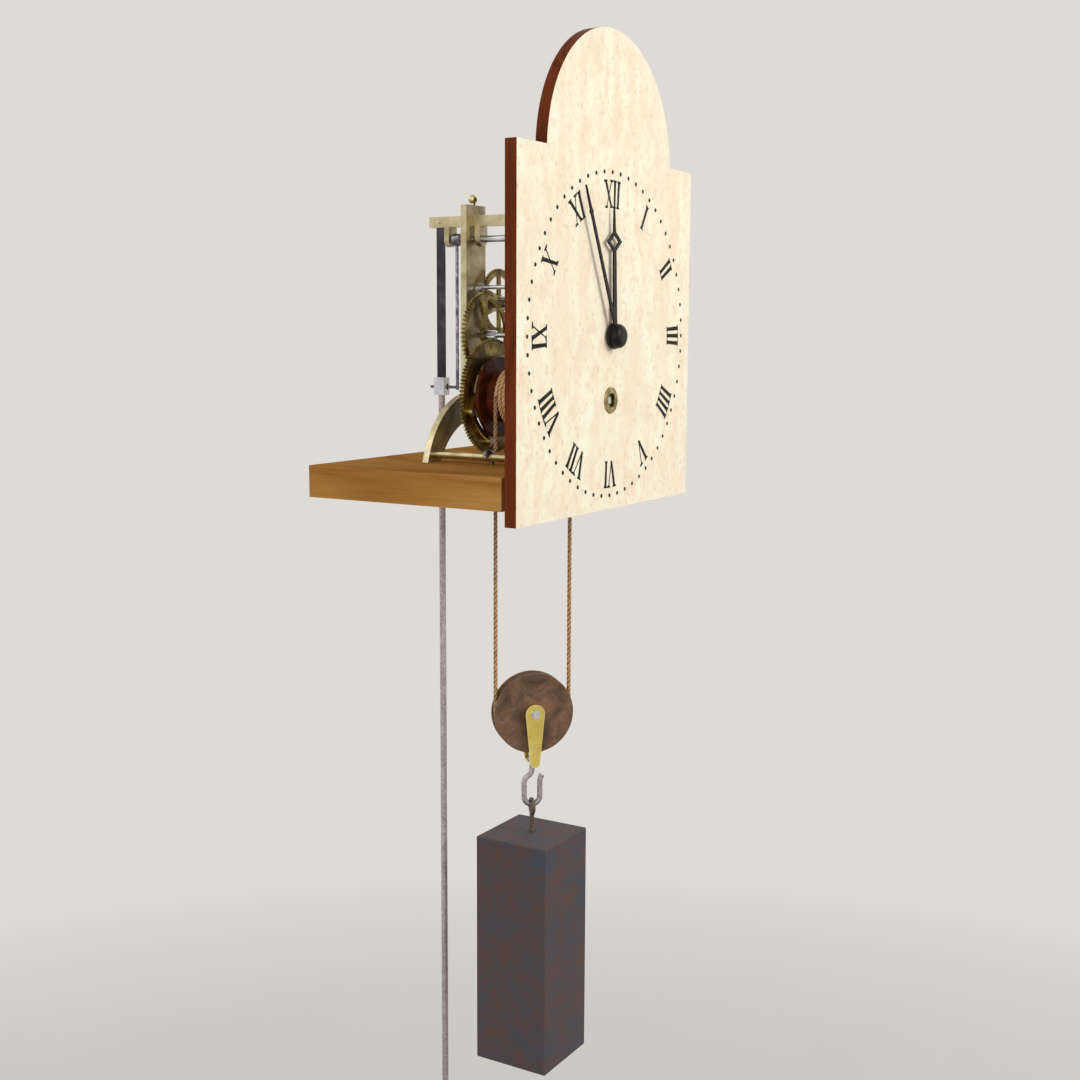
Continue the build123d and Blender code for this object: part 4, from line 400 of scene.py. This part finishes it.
DIAL_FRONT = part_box("dial")[0].y
FACES_FRONT = -0.85
CREAM = ((0.3, "f8e2c8"), (0.43, "fceed2"), (0.53, "fef6da"), (0.68, "fffae2"))
CREAM_BLOOM = "fbead0"
CREAM_BAND = "fae3c6"
CREAM_FLECK = "eccaa6"
BOARD_RINGS = ((0.0, "4a1c08"), (0.35, "632a10"), (0.9, "743616"))
BOARD_FIBRES = ((0.35, "501f0a"), (0.65, "783817"))
BOARD_FIBRE_SHARE = 0.45
BOARD_BANDS = 12.0
STROKE_RISE = 0.6

dial_finish, tree, shader = new_finish("painted_dial_board")
facing = step(tree, "ShaderNodeTexCoord").outputs["Normal"]
toward = step(tree, "ShaderNodeSeparateXYZ", {"Vector": facing}).outputs["Y"]
front = worked(tree, "LESS_THAN", toward, FACES_FRONT)
stroke = cloud(tree, scale=66.0, stretch=(1.0, 1.0, 0.62), detail=4.0, rough=0.6, twist=0.2)
bloom = cloud(tree, scale=17.0, stretch=(1.0, 1.0, 0.45), detail=3.0)
band = cloud(tree, scale=44.0, stretch=(1.0, 1.0, 0.13), detail=2.0)
fleck = cloud(tree, scale=240.0, stretch=(1.0, 1.0, 0.75), detail=5.0, rough=0.72)
hair = cloud(tree, scale=900.0, stretch=(1.0, 1.0, 0.05), detail=3.0)
cream = grades(tree, stroke, *CREAM)
bloomed = level(tree, bloom, low=0.0, high=0.55, start=0.45, end=0.68)
cream = blended(tree, bloomed, cream, tone(CREAM_BLOOM))
banded = level(tree, band, low=0.0, high=0.5, start=0.48, end=0.62)
cream = blended(tree, banded, cream, tone(CREAM_BAND))
flecked = level(tree, fleck, low=0.0, high=0.75, start=0.54, end=0.68)
cream = blended(tree, flecked, cream, tone(CREAM_FLECK))
field = cloud(tree, scale=16.0, stretch=(1.0, 1.0, 0.14), detail=1.5, twist=0.3)
rings = worked(tree, "PINGPONG", worked(tree, "MULTIPLY", field, BOARD_BANDS), 1.0)
fibre = cloud(tree, scale=700.0, stretch=(1.0, 1.0, 0.03))
ring_tone = grades(tree, rings, *BOARD_RINGS)
fibre_tone = grades(tree, fibre, *BOARD_FIBRES)
wood = blended(tree, BOARD_FIBRE_SHARE, ring_tone, fibre_tone)
wood_rough = level(tree, hair, low=0.42, high=0.62)
paint_rough = level(tree, hair, low=0.36, high=0.5)
rough = step(tree, "ShaderNodeMix", {0: front, 2: wood_rough, 3: paint_rough}, data_type="FLOAT")
colour = blended(tree, front, wood, cream)
feed(tree, shader, {"Base Color": colour, "Roughness": rough.outputs[0], "Specular IOR Level": 0.06})
raised = worked(tree, "ADD", worked(tree, "MULTIPLY", stroke, STROKE_RISE), hair)
relief(tree, shader, raised, strength=0.12, depth=0.0004)
finished(dial_finish, "dial")

# The numerals and minute dots: black paint drawn with a brush and pen straight on the cream
# ground, thick uprights with hairline ends, each numeral with its foot towards the centre.

HANDS_Z = middle_of("centre_arbor").z
NUMERAL_FOOT = 0.107
NUMERAL_TALL = 0.0232
# These are shares of a numeral's height.
THICK = 0.145
THIN = 0.055
LEAN = 0.205
HAIRLINE = 0.04
BRACKET = 0.096
END_REACH = 0.12
THROAT = 0.066
# Each letter: how far it reaches along the numeral, its strokes (foot, head, width) and the
# places of its hairline ends at the foot and at the head.
LETTERS = {
    "I": (0.275, ((0.0, 0.0, THICK),), (0.0,), (0.0,)),
    "V": (0.585, ((0.0, -LEAN, THICK), (0.0, LEAN, THIN)), (), (-LEAN, LEAN)),
    "X": (0.62, ((LEAN, -LEAN, THICK), (-LEAN, LEAN, THIN)), (-LEAN, LEAN), (-LEAN, LEAN)),
}
HOURS = ("I", "II", "III", "IIII", "V", "VI", "VII", "VIII", "IX", "X", "XI", "XII")
# How proud of the dial each kind of stroke is, and how far all paint is let into it.
THICK_PROUD = 0.00012
THIN_PROUD = 0.000132
HAIRLINE_PROUD = 0.0001
PAINT_SUNK = 0.00015
MINUTES = 60
DOT_RING = 0.1367
DOT_RADIUS = 0.00185
DOT_SIDES = 20
DOT_CROWN = 0.00018
# The rings of a dot's domed outline: the share of its radius, and how proud of the dial.
DOT_OUTLINE = ((0.6, 0.000156), (0.95, 0.0001), (1.0, -PAINT_SUNK))
INK = ((0.35, "0f0d0b"), (0.6, "211d19"))
WORN_INK = "7d6c59"


def on_dial(angle, along, radius, proud):
    """A point on the dial: along the circle from an hour's angle, at a radius, proud of it."""
    swung = angle + along / (NUMERAL_FOOT + NUMERAL_TALL / 2)
    return Vector((radius * math.sin(swung), DIAL_FRONT - proud, HANDS_Z + radius * math.cos(swung)))


def brush_stroke(shape, angle, corners, proud):
    """One flat stroke of paint with the corners given along and up the numeral."""
    front = []
    under = []
    for along, up in corners:
        point = on_dial(angle, along * NUMERAL_TALL, NUMERAL_FOOT + up * NUMERAL_TALL, proud)
        front.append(shape.verts.new(point))
        under.append(shape.verts.new((point.x, DIAL_FRONT + PAINT_SUNK, point.z)))
    shape.faces.new(front)
    shape.faces.new(list(reversed(under)))
    for one in range(len(front)):
        two = (one + 1) % len(front)
        shape.faces.new((front[one], under[one], under[two], front[two]))


def hairline(middle, end):
    """The corners of a letter's thin end, at its foot 0 or head 1, bracketed towards its stroke."""
    inward = 1 if end == 0.0 else -1
    near = end + inward * HAIRLINE
    inner = end + inward * BRACKET
    left, right = middle - END_REACH, middle + END_REACH
    outer_edge = ((left, end), (right, end))
    inner_edge = ((right, near), (middle + THROAT, inner), (middle - THROAT, inner), (left, near))
    return outer_edge + inner_edge


def as_piece(name, shape, finish, smooth=True):
    """Makes a named piece of the object from a worked shape."""
    bmesh.ops.recalc_face_normals(shape, faces=shape.faces)
    mesh = bpy.data.meshes.new(name)
    shape.to_mesh(mesh)
    shape.free()
    mesh.materials.append(finish)
    if smooth:
        mesh.polygons.foreach_set("use_smooth", [True] * len(mesh.polygons))
    piece = bpy.data.objects.new(name, mesh)
    scene.collection.objects.link(piece)
    return piece


numeral_paint, tree, shader = new_finish("numeral_paint")
rub = cloud(tree, scale=640.0, detail=5.0, rough=0.7)
drag = cloud(tree, scale=90.0, detail=4.0)
ink = grades(tree, drag, *INK)
rubbed = level(tree, rub, low=0.0, high=0.55, start=0.58, end=0.76)
colour = blended(tree, rubbed, ink, tone(WORN_INK))
rough = level(tree, rub, low=0.34, high=0.6)
feed(tree, shader, {"Base Color": colour, "Roughness": rough, "Specular IOR Level": 0.1})
relief(tree, shader, rub, strength=0.2, depth=0.0002)

shape = bmesh.new()
for hour, numeral in enumerate(HOURS, start=1):
    angle = math.tau * hour / len(HOURS)
    at = -sum(LETTERS[letter][0] for letter in numeral) / 2
    for letter in numeral:
        wide, strokes, feet, heads = LETTERS[letter]
        middle = at + wide / 2
        at += wide
        for foot, head, broad in strokes:
            half = broad / 2
            low, high = middle + foot, middle + head
            corners = ((low - half, 0.0), (low + half, 0.0), (high + half, 1.0), (high - half, 1.0))
            brush_stroke(shape, angle, corners, THICK_PROUD if broad == THICK else THIN_PROUD)
        for end, places in ((0.0, feet), (1.0, heads)):
            for place in places:
                brush_stroke(shape, angle, hairline(middle + place, end), HAIRLINE_PROUD)
numerals = as_piece("dial_numerals", shape, numeral_paint, smooth=False)
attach(numerals, "frame")

shape = bmesh.new()
for minute in range(MINUTES):
    middle = on_dial(math.tau * minute / MINUTES, 0.0, DOT_RING, 0.0)
    crown = shape.verts.new(middle - Vector((0, DOT_CROWN, 0)))
    rings = []
    for share, proud in DOT_OUTLINE:
        ring = []
        for side in range(DOT_SIDES):
            turn = math.tau * side / DOT_SIDES
            out = Vector((math.cos(turn), 0, math.sin(turn))) * DOT_RADIUS * share
            ring.append(shape.verts.new(middle + out - Vector((0, proud, 0))))
        rings.append(ring)
    for side in range(DOT_SIDES):
        follow = (side + 1) % DOT_SIDES
        shape.faces.new((crown, rings[0][side], rings[0][follow]))
        for inner, outer in zip(rings, rings[1:]):
            shape.faces.new((inner[side], outer[side], outer[follow], inner[follow]))
    shape.faces.new(rings[-1])
dots = as_piece("minute_dots", shape, numeral_paint)
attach(dots, "frame")

# The winding hole's ring: a small turned brass bush pressed into the dial round the winding
# square, dull in its corners and rubbed brighter by the key.

RING_TONES = ("6b5c33", "a1915f", "cdbd8c")
ring_brass = dressed_brass("ring_brass", RING_TONES, rough=0.3, lines=(1.0, 1.0, 1.0), age_scale=120.0)
finished(ring_brass, "winding_ring")

# The hands: cut from sheet steel, filed and blacked, with a turned black boss pinned over them.
# The blacking has worn to grey steel on the corners.

HAND_EDGE = 0.0003
BLACKING = ((0.35, "0d0c0c"), (0.65, "1e1c1b"))
WORN_BLACKING = "57524d"

hand_black, tree, shader = new_finish("hand_black")
rub = cloud(tree, scale=260.0, detail=5.0, rough=0.65)
file_mark = cloud(tree, scale=1600.0, stretch=(1.0, 1.0, 0.12), detail=3.0)
black = grades(tree, rub, *BLACKING)
rubbed = level(tree, rub, low=0.1, high=0.7, start=0.4, end=0.65)
edge = worked(tree, "MULTIPLY", worn_edges(tree, HAND_EDGE), rubbed)
colour = blended(tree, edge, black, tone(WORN_BLACKING))
rough = level(tree, rub, low=0.3, high=0.46)
feed(tree, shader, {"Base Color": colour, "Roughness": rough, "Metallic": 0.35, "Specular IOR Level": 0.25})
relief(tree, shader, file_mark, strength=0.15, depth=0.0002)
finished(hand_black, "hour_hand", "minute_hand", "hand_boss")

# The driving line: three-strand gut, laid up and stained tan. It leaves the barrel, runs down
# and round the pulley, and goes up through the seatboard to a knot on top of it.

LINE_ACROSS = 0.004
LINE_LAY = 0.0135
LINE_STRANDS = 3
STRAND_SIDES = 21
STRAND_VALLEY = 0.68
STRAND_ROUNDING = 0.6
DRUM_EXIT = Vector((-0.0248, -0.01016, 0.082))
BOARD_HOLE = Vector((0.0248, -0.05784, 0.027))
PULLEY_AT = Vector((0.0, -0.034, -0.2034))
PULLEY_ALONG = Vector((0.7209, -0.693, 0.0))
FALL_OUT = 0.0344
RUN_END = 0.024
TURN_CORNER = 0.015
FALLS_FINENESS = 300
FALLS_GAP = 0.0013
GUT_FIBRES = ((0.35, "7d5a40"), (0.6, "ffffff"))
GUT_FIBRE_SHARE = 0.45


def laid_points(name, route, fineness, closed=False):
    """The points along a smooth line that has the route's points as its control points."""
    curve = bpy.data.curves.new(name, "CURVE")
    curve.dimensions = "3D"
    spline = curve.splines.new("NURBS")
    spline.points.add(len(route) - 1)
    for point, place in zip(spline.points, route):
        point.co = (*place, 1.0)
    spline.order_u = 3
    spline.use_endpoint_u = not closed
    spline.use_cyclic_u = closed
    spline.resolution_u = fineness
    holder = bpy.data.objects.new(name, curve)
    scene.collection.objects.link(holder)
    bpy.context.view_layer.update()
    read = bpy.data.meshes.new_from_object(holder)
    points = [vertex.co.copy() for vertex in read.vertices]
    bpy.data.meshes.remove(read)
    bpy.data.objects.remove(holder)
    bpy.data.curves.remove(curve)
    return points


def spaced(points, gap):
    """Leaves out points that stand closer than the gap to the one before or to the last."""
    kept = [points[0]]
    for point in points[1:-1]:
        if (point - kept[-1]).length >= gap and (point - points[-1]).length >= gap:
            kept.append(point)
    return kept + [points[-1]]


def twisted_line(shape, points, across, lay, closed=False):
    """Adds a laid-up line along the points: strands that turn once in each lay."""
    # Each corner's crown is kept on the mesh so the finish can paint a highlight on the crowns and shade in
    # the valleys.
    crest_shade_layer = shape.verts.layers.float.new("strand_crown_painted_shade")
    count = len(points)
    rings = []
    run = 0.0
    side = None
    for at, point in enumerate(points):
        before = points[at - 1] if closed or at else point
        after = points[(at + 1) % count] if closed or at < count - 1 else point
        ahead = (after - before).normalized()
        if side is None:
            side = ahead.orthogonal().normalized()
        else:
            side = (side - ahead * side.dot(ahead)).normalized()
            run += (point - points[at - 1]).length
        over = ahead.cross(side)
        turn = math.tau * run / lay
        ring = []
        for corner in range(STRAND_SIDES):
            angle = math.tau * corner / STRAND_SIDES
            crown = abs(math.cos(LINE_STRANDS * angle / 2)) ** STRAND_ROUNDING
            reach = across / 2 * (STRAND_VALLEY + (1 - STRAND_VALLEY) * crown)
            out = side * math.cos(angle + turn) + over * math.sin(angle + turn)
            ring.append(shape.verts.new(point + out * reach))
            ring[-1][crest_shade_layer] = crown
        rings.append(ring)
    if closed:
        first, last = rings[0], rings[-1]
        nearest = min(range(STRAND_SIDES), key=lambda corner: (first[corner].co - last[0].co).length)
        rings.append(first[nearest:] + first[:nearest])
    for one, two in zip(rings, rings[1:]):
        for corner in range(STRAND_SIDES):
            follow = (corner + 1) % STRAND_SIDES
            shape.faces.new((one[corner], one[follow], two[follow], two[corner]))
    if not closed:
        shape.faces.new(list(reversed(rings[0])))
        shape.faces.new(rings[-1])


def gut_with_painted_shade(name, pale, deep):
    """Stained gut: patchy stain and fine fibres, with painted highlight on the strands' crowns and painted
    shade in the valleys between them.
    """
    finish, tree, shader = new_finish(name)
    stain = cloud(tree, scale=260.0, detail=5.0)
    fibre = cloud(tree, scale=1500.0, stretch=(1.0, 1.0, 0.35), detail=3.0)
    crown = step(tree, "ShaderNodeAttribute", attribute_name="strand_crown_painted_shade").outputs["Fac"]
    # Painted light: the strands' crowns are made paler as a highlight and the valleys darker as shade, added
    # to the stain.
    raised = level(tree, crown, low=-0.25, high=0.2, start=0.35, end=0.9)
    stain_and_painted_shade = grades(tree, worked(tree, "ADD", raised, stain), (0.3, deep), (0.66, pale))
    fibre_tone = grades(tree, fibre, *GUT_FIBRES)
    colour = blended(tree, GUT_FIBRE_SHARE, stain_and_painted_shade, fibre_tone, "MULTIPLY")
    rough = level(tree, stain, low=0.5, high=0.75)
    feed(tree, shader, {"Base Color": colour, "Roughness": rough})
    relief(tree, shader, fibre, strength=0.5, depth=0.0004)
    return finish


def beside(along, height):
    """A point in the pulley's own plane: along from its axle, and height over it."""
    return PULLEY_AT + PULLEY_ALONG * along + Vector((0, 0, height))


falls_route = [
    DRUM_EXIT,
    beside(-FALL_OUT, RUN_END),
    beside(-FALL_OUT, -TURN_CORNER),
    beside(-TURN_CORNER, -FALL_OUT),
    beside(TURN_CORNER, -FALL_OUT),
    beside(FALL_OUT, -TURN_CORNER),
    beside(FALL_OUT, RUN_END),
    BOARD_HOLE,
]
falls_points = spaced(laid_points("falls_route", falls_route, FALLS_FINENESS), FALLS_GAP)
line_gut = gut_with_painted_shade("stained_line_painted_shade", pale="d2a673", deep="714a31")
shape = bmesh.new()
twisted_line(shape, falls_points, LINE_ACROSS, LINE_LAY)
falls = as_piece("driving_line", shape, line_gut)
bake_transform(falls)
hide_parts("line_falls")

# The end of the line: a plain overhand knot drawn tight on top of the seatboard's hole,
# in the same gut, which keeps the line from slipping through.

KNOT_SPREAD = 0.00172
KNOT_MIDDLE = 0.003895
KNOT_RISE = 0.0019
KNOT_POINTS = 24
KNOT_FINENESS = 6
KNOT_ACROSS = 0.0036

knot_route = []
for at in range(KNOT_POINTS):
    turn = math.tau * at / KNOT_POINTS
    loop_x = KNOT_SPREAD * (math.sin(turn) + 2 * math.sin(2 * turn))
    loop_y = KNOT_SPREAD * (math.cos(turn) - 2 * math.cos(2 * turn))
    loop_z = KNOT_MIDDLE - KNOT_RISE * math.sin(3 * turn)
    knot_route.append(BOARD_HOLE + Vector((loop_x, loop_y, loop_z)))
knot_points = laid_points("knot_route", knot_route, KNOT_FINENESS, closed=True)[:-1]
shape = bmesh.new()
twisted_line(shape, knot_points, KNOT_ACROSS, LINE_LAY, closed=True)
knot = as_piece("line_end_knot", shape, line_gut)
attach(knot, "frame")
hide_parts("line_knot")

# The line on the barrel: the same gut wound in close turns over the wooden drum, from the back
# of the front flange to where it leaves for the pulley.

COIL_MIDDLE = 0.0245
COIL_TURNS = 12
COIL_TURN_POINTS = 12
COIL_START_Y = -0.0602
COIL_FINENESS = 10
COIL_GAP = 0.0012
# The smooth line runs inside its control points, so they stand further out than its middle.
COIL_OUT = COIL_MIDDLE / math.cos(math.pi / COIL_TURN_POINTS)

coil_route = []
for at in range(COIL_TURNS * COIL_TURN_POINTS):
    done = at / (COIL_TURNS * COIL_TURN_POINTS)
    angle = math.pi + math.tau * COIL_TURNS * done
    along = COIL_START_Y + (DRUM_EXIT.y - COIL_START_Y) * done
    place = (COIL_OUT * math.cos(angle), along, DRUM_EXIT.z + COIL_OUT * math.sin(angle))
    coil_route.append(Vector(place))
coil_route.append(DRUM_EXIT)
coil_points = spaced(laid_points("coil_route", coil_route, COIL_FINENESS), COIL_GAP)
# The wound turns get a paler copy of the gut's finish: painted light that offsets the shade the dial casts
# on them.
wound_gut_painted_lighter = gut_with_painted_shade("wound_line_gut_painted_lighter", pale="f6ca94", deep="bd8857")
shape = bmesh.new()
twisted_line(shape, coil_points, LINE_ACROSS, LINE_LAY)
coil = as_piece("wound_line_turns", shape, wound_gut_painted_lighter)
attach(coil, "barrel")
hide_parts("wound_line")

# The pulley: a sheave turned from dense brown wood, stained in patches by handling and oil, on a
# steel axle riveted through a bent strap of bright brass.

SHEAVE_BROWNS = ((0.32, "47352a"), (0.46, "614a38"), (0.56, "745641"), (0.68, "8c684f"))
SHEAVE_PORE = "3d2c22"
SHEAVE_RUBBED = "9a7458"
SHEAVE_EDGE = 0.001
STRAP_TONES = ("c8af54", "e4ce70", "fff6bd")
STRAP_LINES = (1.0, 1.0, 0.08)
STRAP_STAINS = 28.0
# The strap's wide bright edges are partly rubbed wear and partly a painted highlight along them.
STRAP_WEAR_AND_HIGHLIGHT_EDGE = 0.0022
AXLE_TONES = ("9c9a92", "c4c3bd", "e8e8e4")

sheave_wood, tree, shader = new_finish("sheave_wood")
patch = cloud(tree, scale=58.0, detail=6.0, rough=0.64, twist=0.9)
pore = cloud(tree, scale=620.0, stretch=(1.0, 1.0, 0.3), detail=4.0, rough=0.7)
brown = grades(tree, patch, *SHEAVE_BROWNS)
open_pores = level(tree, pore, low=0.0, high=0.6, start=0.55, end=0.75)
brown = blended(tree, open_pores, brown, tone(SHEAVE_PORE))
rubbed = level(tree, pore, low=0.1, high=0.6, start=0.4, end=0.6)
edge = worked(tree, "MULTIPLY", worn_edges(tree, SHEAVE_EDGE), rubbed)
colour = blended(tree, edge, brown, tone(SHEAVE_RUBBED))
rough = level(tree, patch, low=0.5, high=0.72)
feed(tree, shader, {"Base Color": colour, "Roughness": rough, "Specular IOR Level": 0.2})
relief(tree, shader, worked(tree, "ADD", pore, patch), strength=0.3, depth=0.0006)
finished(sheave_wood, "pulley")
strap_brass = dressed_brass(
    "strap_brass", STRAP_TONES, rough=0.17, lines=STRAP_LINES, age_scale=STRAP_STAINS, edge_wide=STRAP_WEAR_AND_HIGHLIGHT_EDGE
)
finished(strap_brass, "pulley_stirrup")
axle_steel = turned_steel("axle_steel", AXLE_TONES, rough=0.24, lines=(1.0, 1.0, 1.0))
finished(axle_steel, "pulley_axle")

# The weight: cast iron poured in a sand mould, rough and speckled with rust. An iron eye is cast
# into its top and hangs on a hook bent from grey galvanised rod.

CAST_TONES = ("4a515a", "554e50", "674b44")
CAST_PATCHES = 0.11
CAST_PITTING = 0.9
HOOK_TONES = ("8a8488", "a89d9f", "c0b3b2")
EYE_TONES = ("4a4440", "6d6258", "86705c")
IRON_RUBBED = "8e8a8c"
IRON_EDGE = 0.0012
IRON_SHINE = 0.14
GRAINS_A_BLOTCH = 9.0


def rough_iron(name, tones, grain, pits, metal, rough, patchy=0.055, pitting=0.45):
    """Iron with a rough skin: cool grey mottled with rust at a grain, and cast or hammered pits."""
    cool, grey, rust = tones
    finish, tree, shader = new_finish(name)
    skin = cloud(tree, grain, detail=6.0, rough=0.72, twist=0.3)
    blotch = cloud(tree, grain / GRAINS_A_BLOTCH, detail=4.0)
    speck = cloud(tree, pits, detail=4.0, rough=0.7)
    blotched = level(tree, blotch, low=-patchy, high=patchy, start=0.3, end=0.7)
    body = grades(tree, worked(tree, "ADD", skin, blotched), (0.36, cool), (0.5, grey), (0.6, rust))
    specked = level(tree, speck, low=0.0, high=0.5, start=0.56, end=0.75)
    body = blended(tree, specked, body, tone(cool))
    rubbed = level(tree, speck, low=0.05, high=0.5, start=0.4, end=0.62)
    edge = worked(tree, "MULTIPLY", worn_edges(tree, IRON_EDGE), rubbed)
    colour = blended(tree, edge, body, tone(IRON_RUBBED))
    uneven = level(tree, skin, low=-0.1, high=0.1, start=0.3, end=0.7)
    roughened = worked(tree, "ADD", uneven, rough)
    feed(tree, shader, {"Base Color": colour, "Roughness": roughened})
    feed(tree, shader, {"Metallic": metal, "Specular IOR Level": IRON_SHINE})
    relief(tree, shader, worked(tree, "ADD", speck, skin), pitting, depth=0.0006)
    return finish


weight_iron = rough_iron(
    "weight_cast_iron",
    CAST_TONES,
    grain=400.0,
    pits=1100.0,
    metal=0.1,
    rough=0.76,
    patchy=CAST_PATCHES,
    pitting=CAST_PITTING,
)
finished(weight_iron, "weight_block")
hook_iron = rough_iron("hook_galvanised_rod", HOOK_TONES, grain=420.0, pits=1500.0, metal=0.6, rough=0.46)
finished(hook_iron, "weight_hook")
eye_iron = rough_iron("eye_wrought_iron", EYE_TONES, grain=380.0, pits=1300.0, metal=0.5, rough=0.5)
finished(eye_iron, "weight_eye")

# The pendulum: a thin strip of blued spring steel held in chops, a bright steel block for the
# crutch's fork, a drawn iron rod, and below a brass-faced bob on its rating nut.

SPRING_TONES = ("312e34", "423e45", "5c5860")
SPRING_LINES = (1.0, 1.0, 0.1)
BLOCK_TONES = ("b9b9bf", "d2d2d7", "e6e6ea")
BLOCK_LINES = (1.0, 1.0, 0.15)
ROD_TONES = ("93868a", "b3a5a6", "cbbdbc")
BOB_TONES = ("a4915a", "bfae74", "d8cb9a")
BOB_STAINS = 15.0
NUT_TONES = ("7e6b38", "af9c5e", "d6c68e")
NUT_LINES = (1.0, 1.0, 4.0)
spring_steel = turned_steel(
    "spring_blued_steel", SPRING_TONES, rough=0.34, lines=SPRING_LINES, stain_scale=40.0, edge_share=0.5
)
finished(spring_steel, "suspension_spring")
block_steel = turned_steel("block_steel", BLOCK_TONES, rough=0.4, lines=BLOCK_LINES, stain_scale=25.0)
finished(block_steel, "pendulum_block")
rod_iron = rough_iron("rod_drawn_iron", ROD_TONES, grain=520.0, pits=1700.0, metal=0.45, rough=0.5)
finished(rod_iron, "pendulum_rod")
bob_centre = middle_of("pendulum_bob")
bob_brass = dressed_brass("bob_brass", BOB_TONES, rough=0.24, lines=bob_centre, age_scale=BOB_STAINS)
finished(bob_brass, "pendulum_bob")
nut_brass = dressed_brass("rating_nut_brass", NUT_TONES, rough=0.3, lines=NUT_LINES, age_scale=90.0)
finished(nut_brass, "rating_nut")
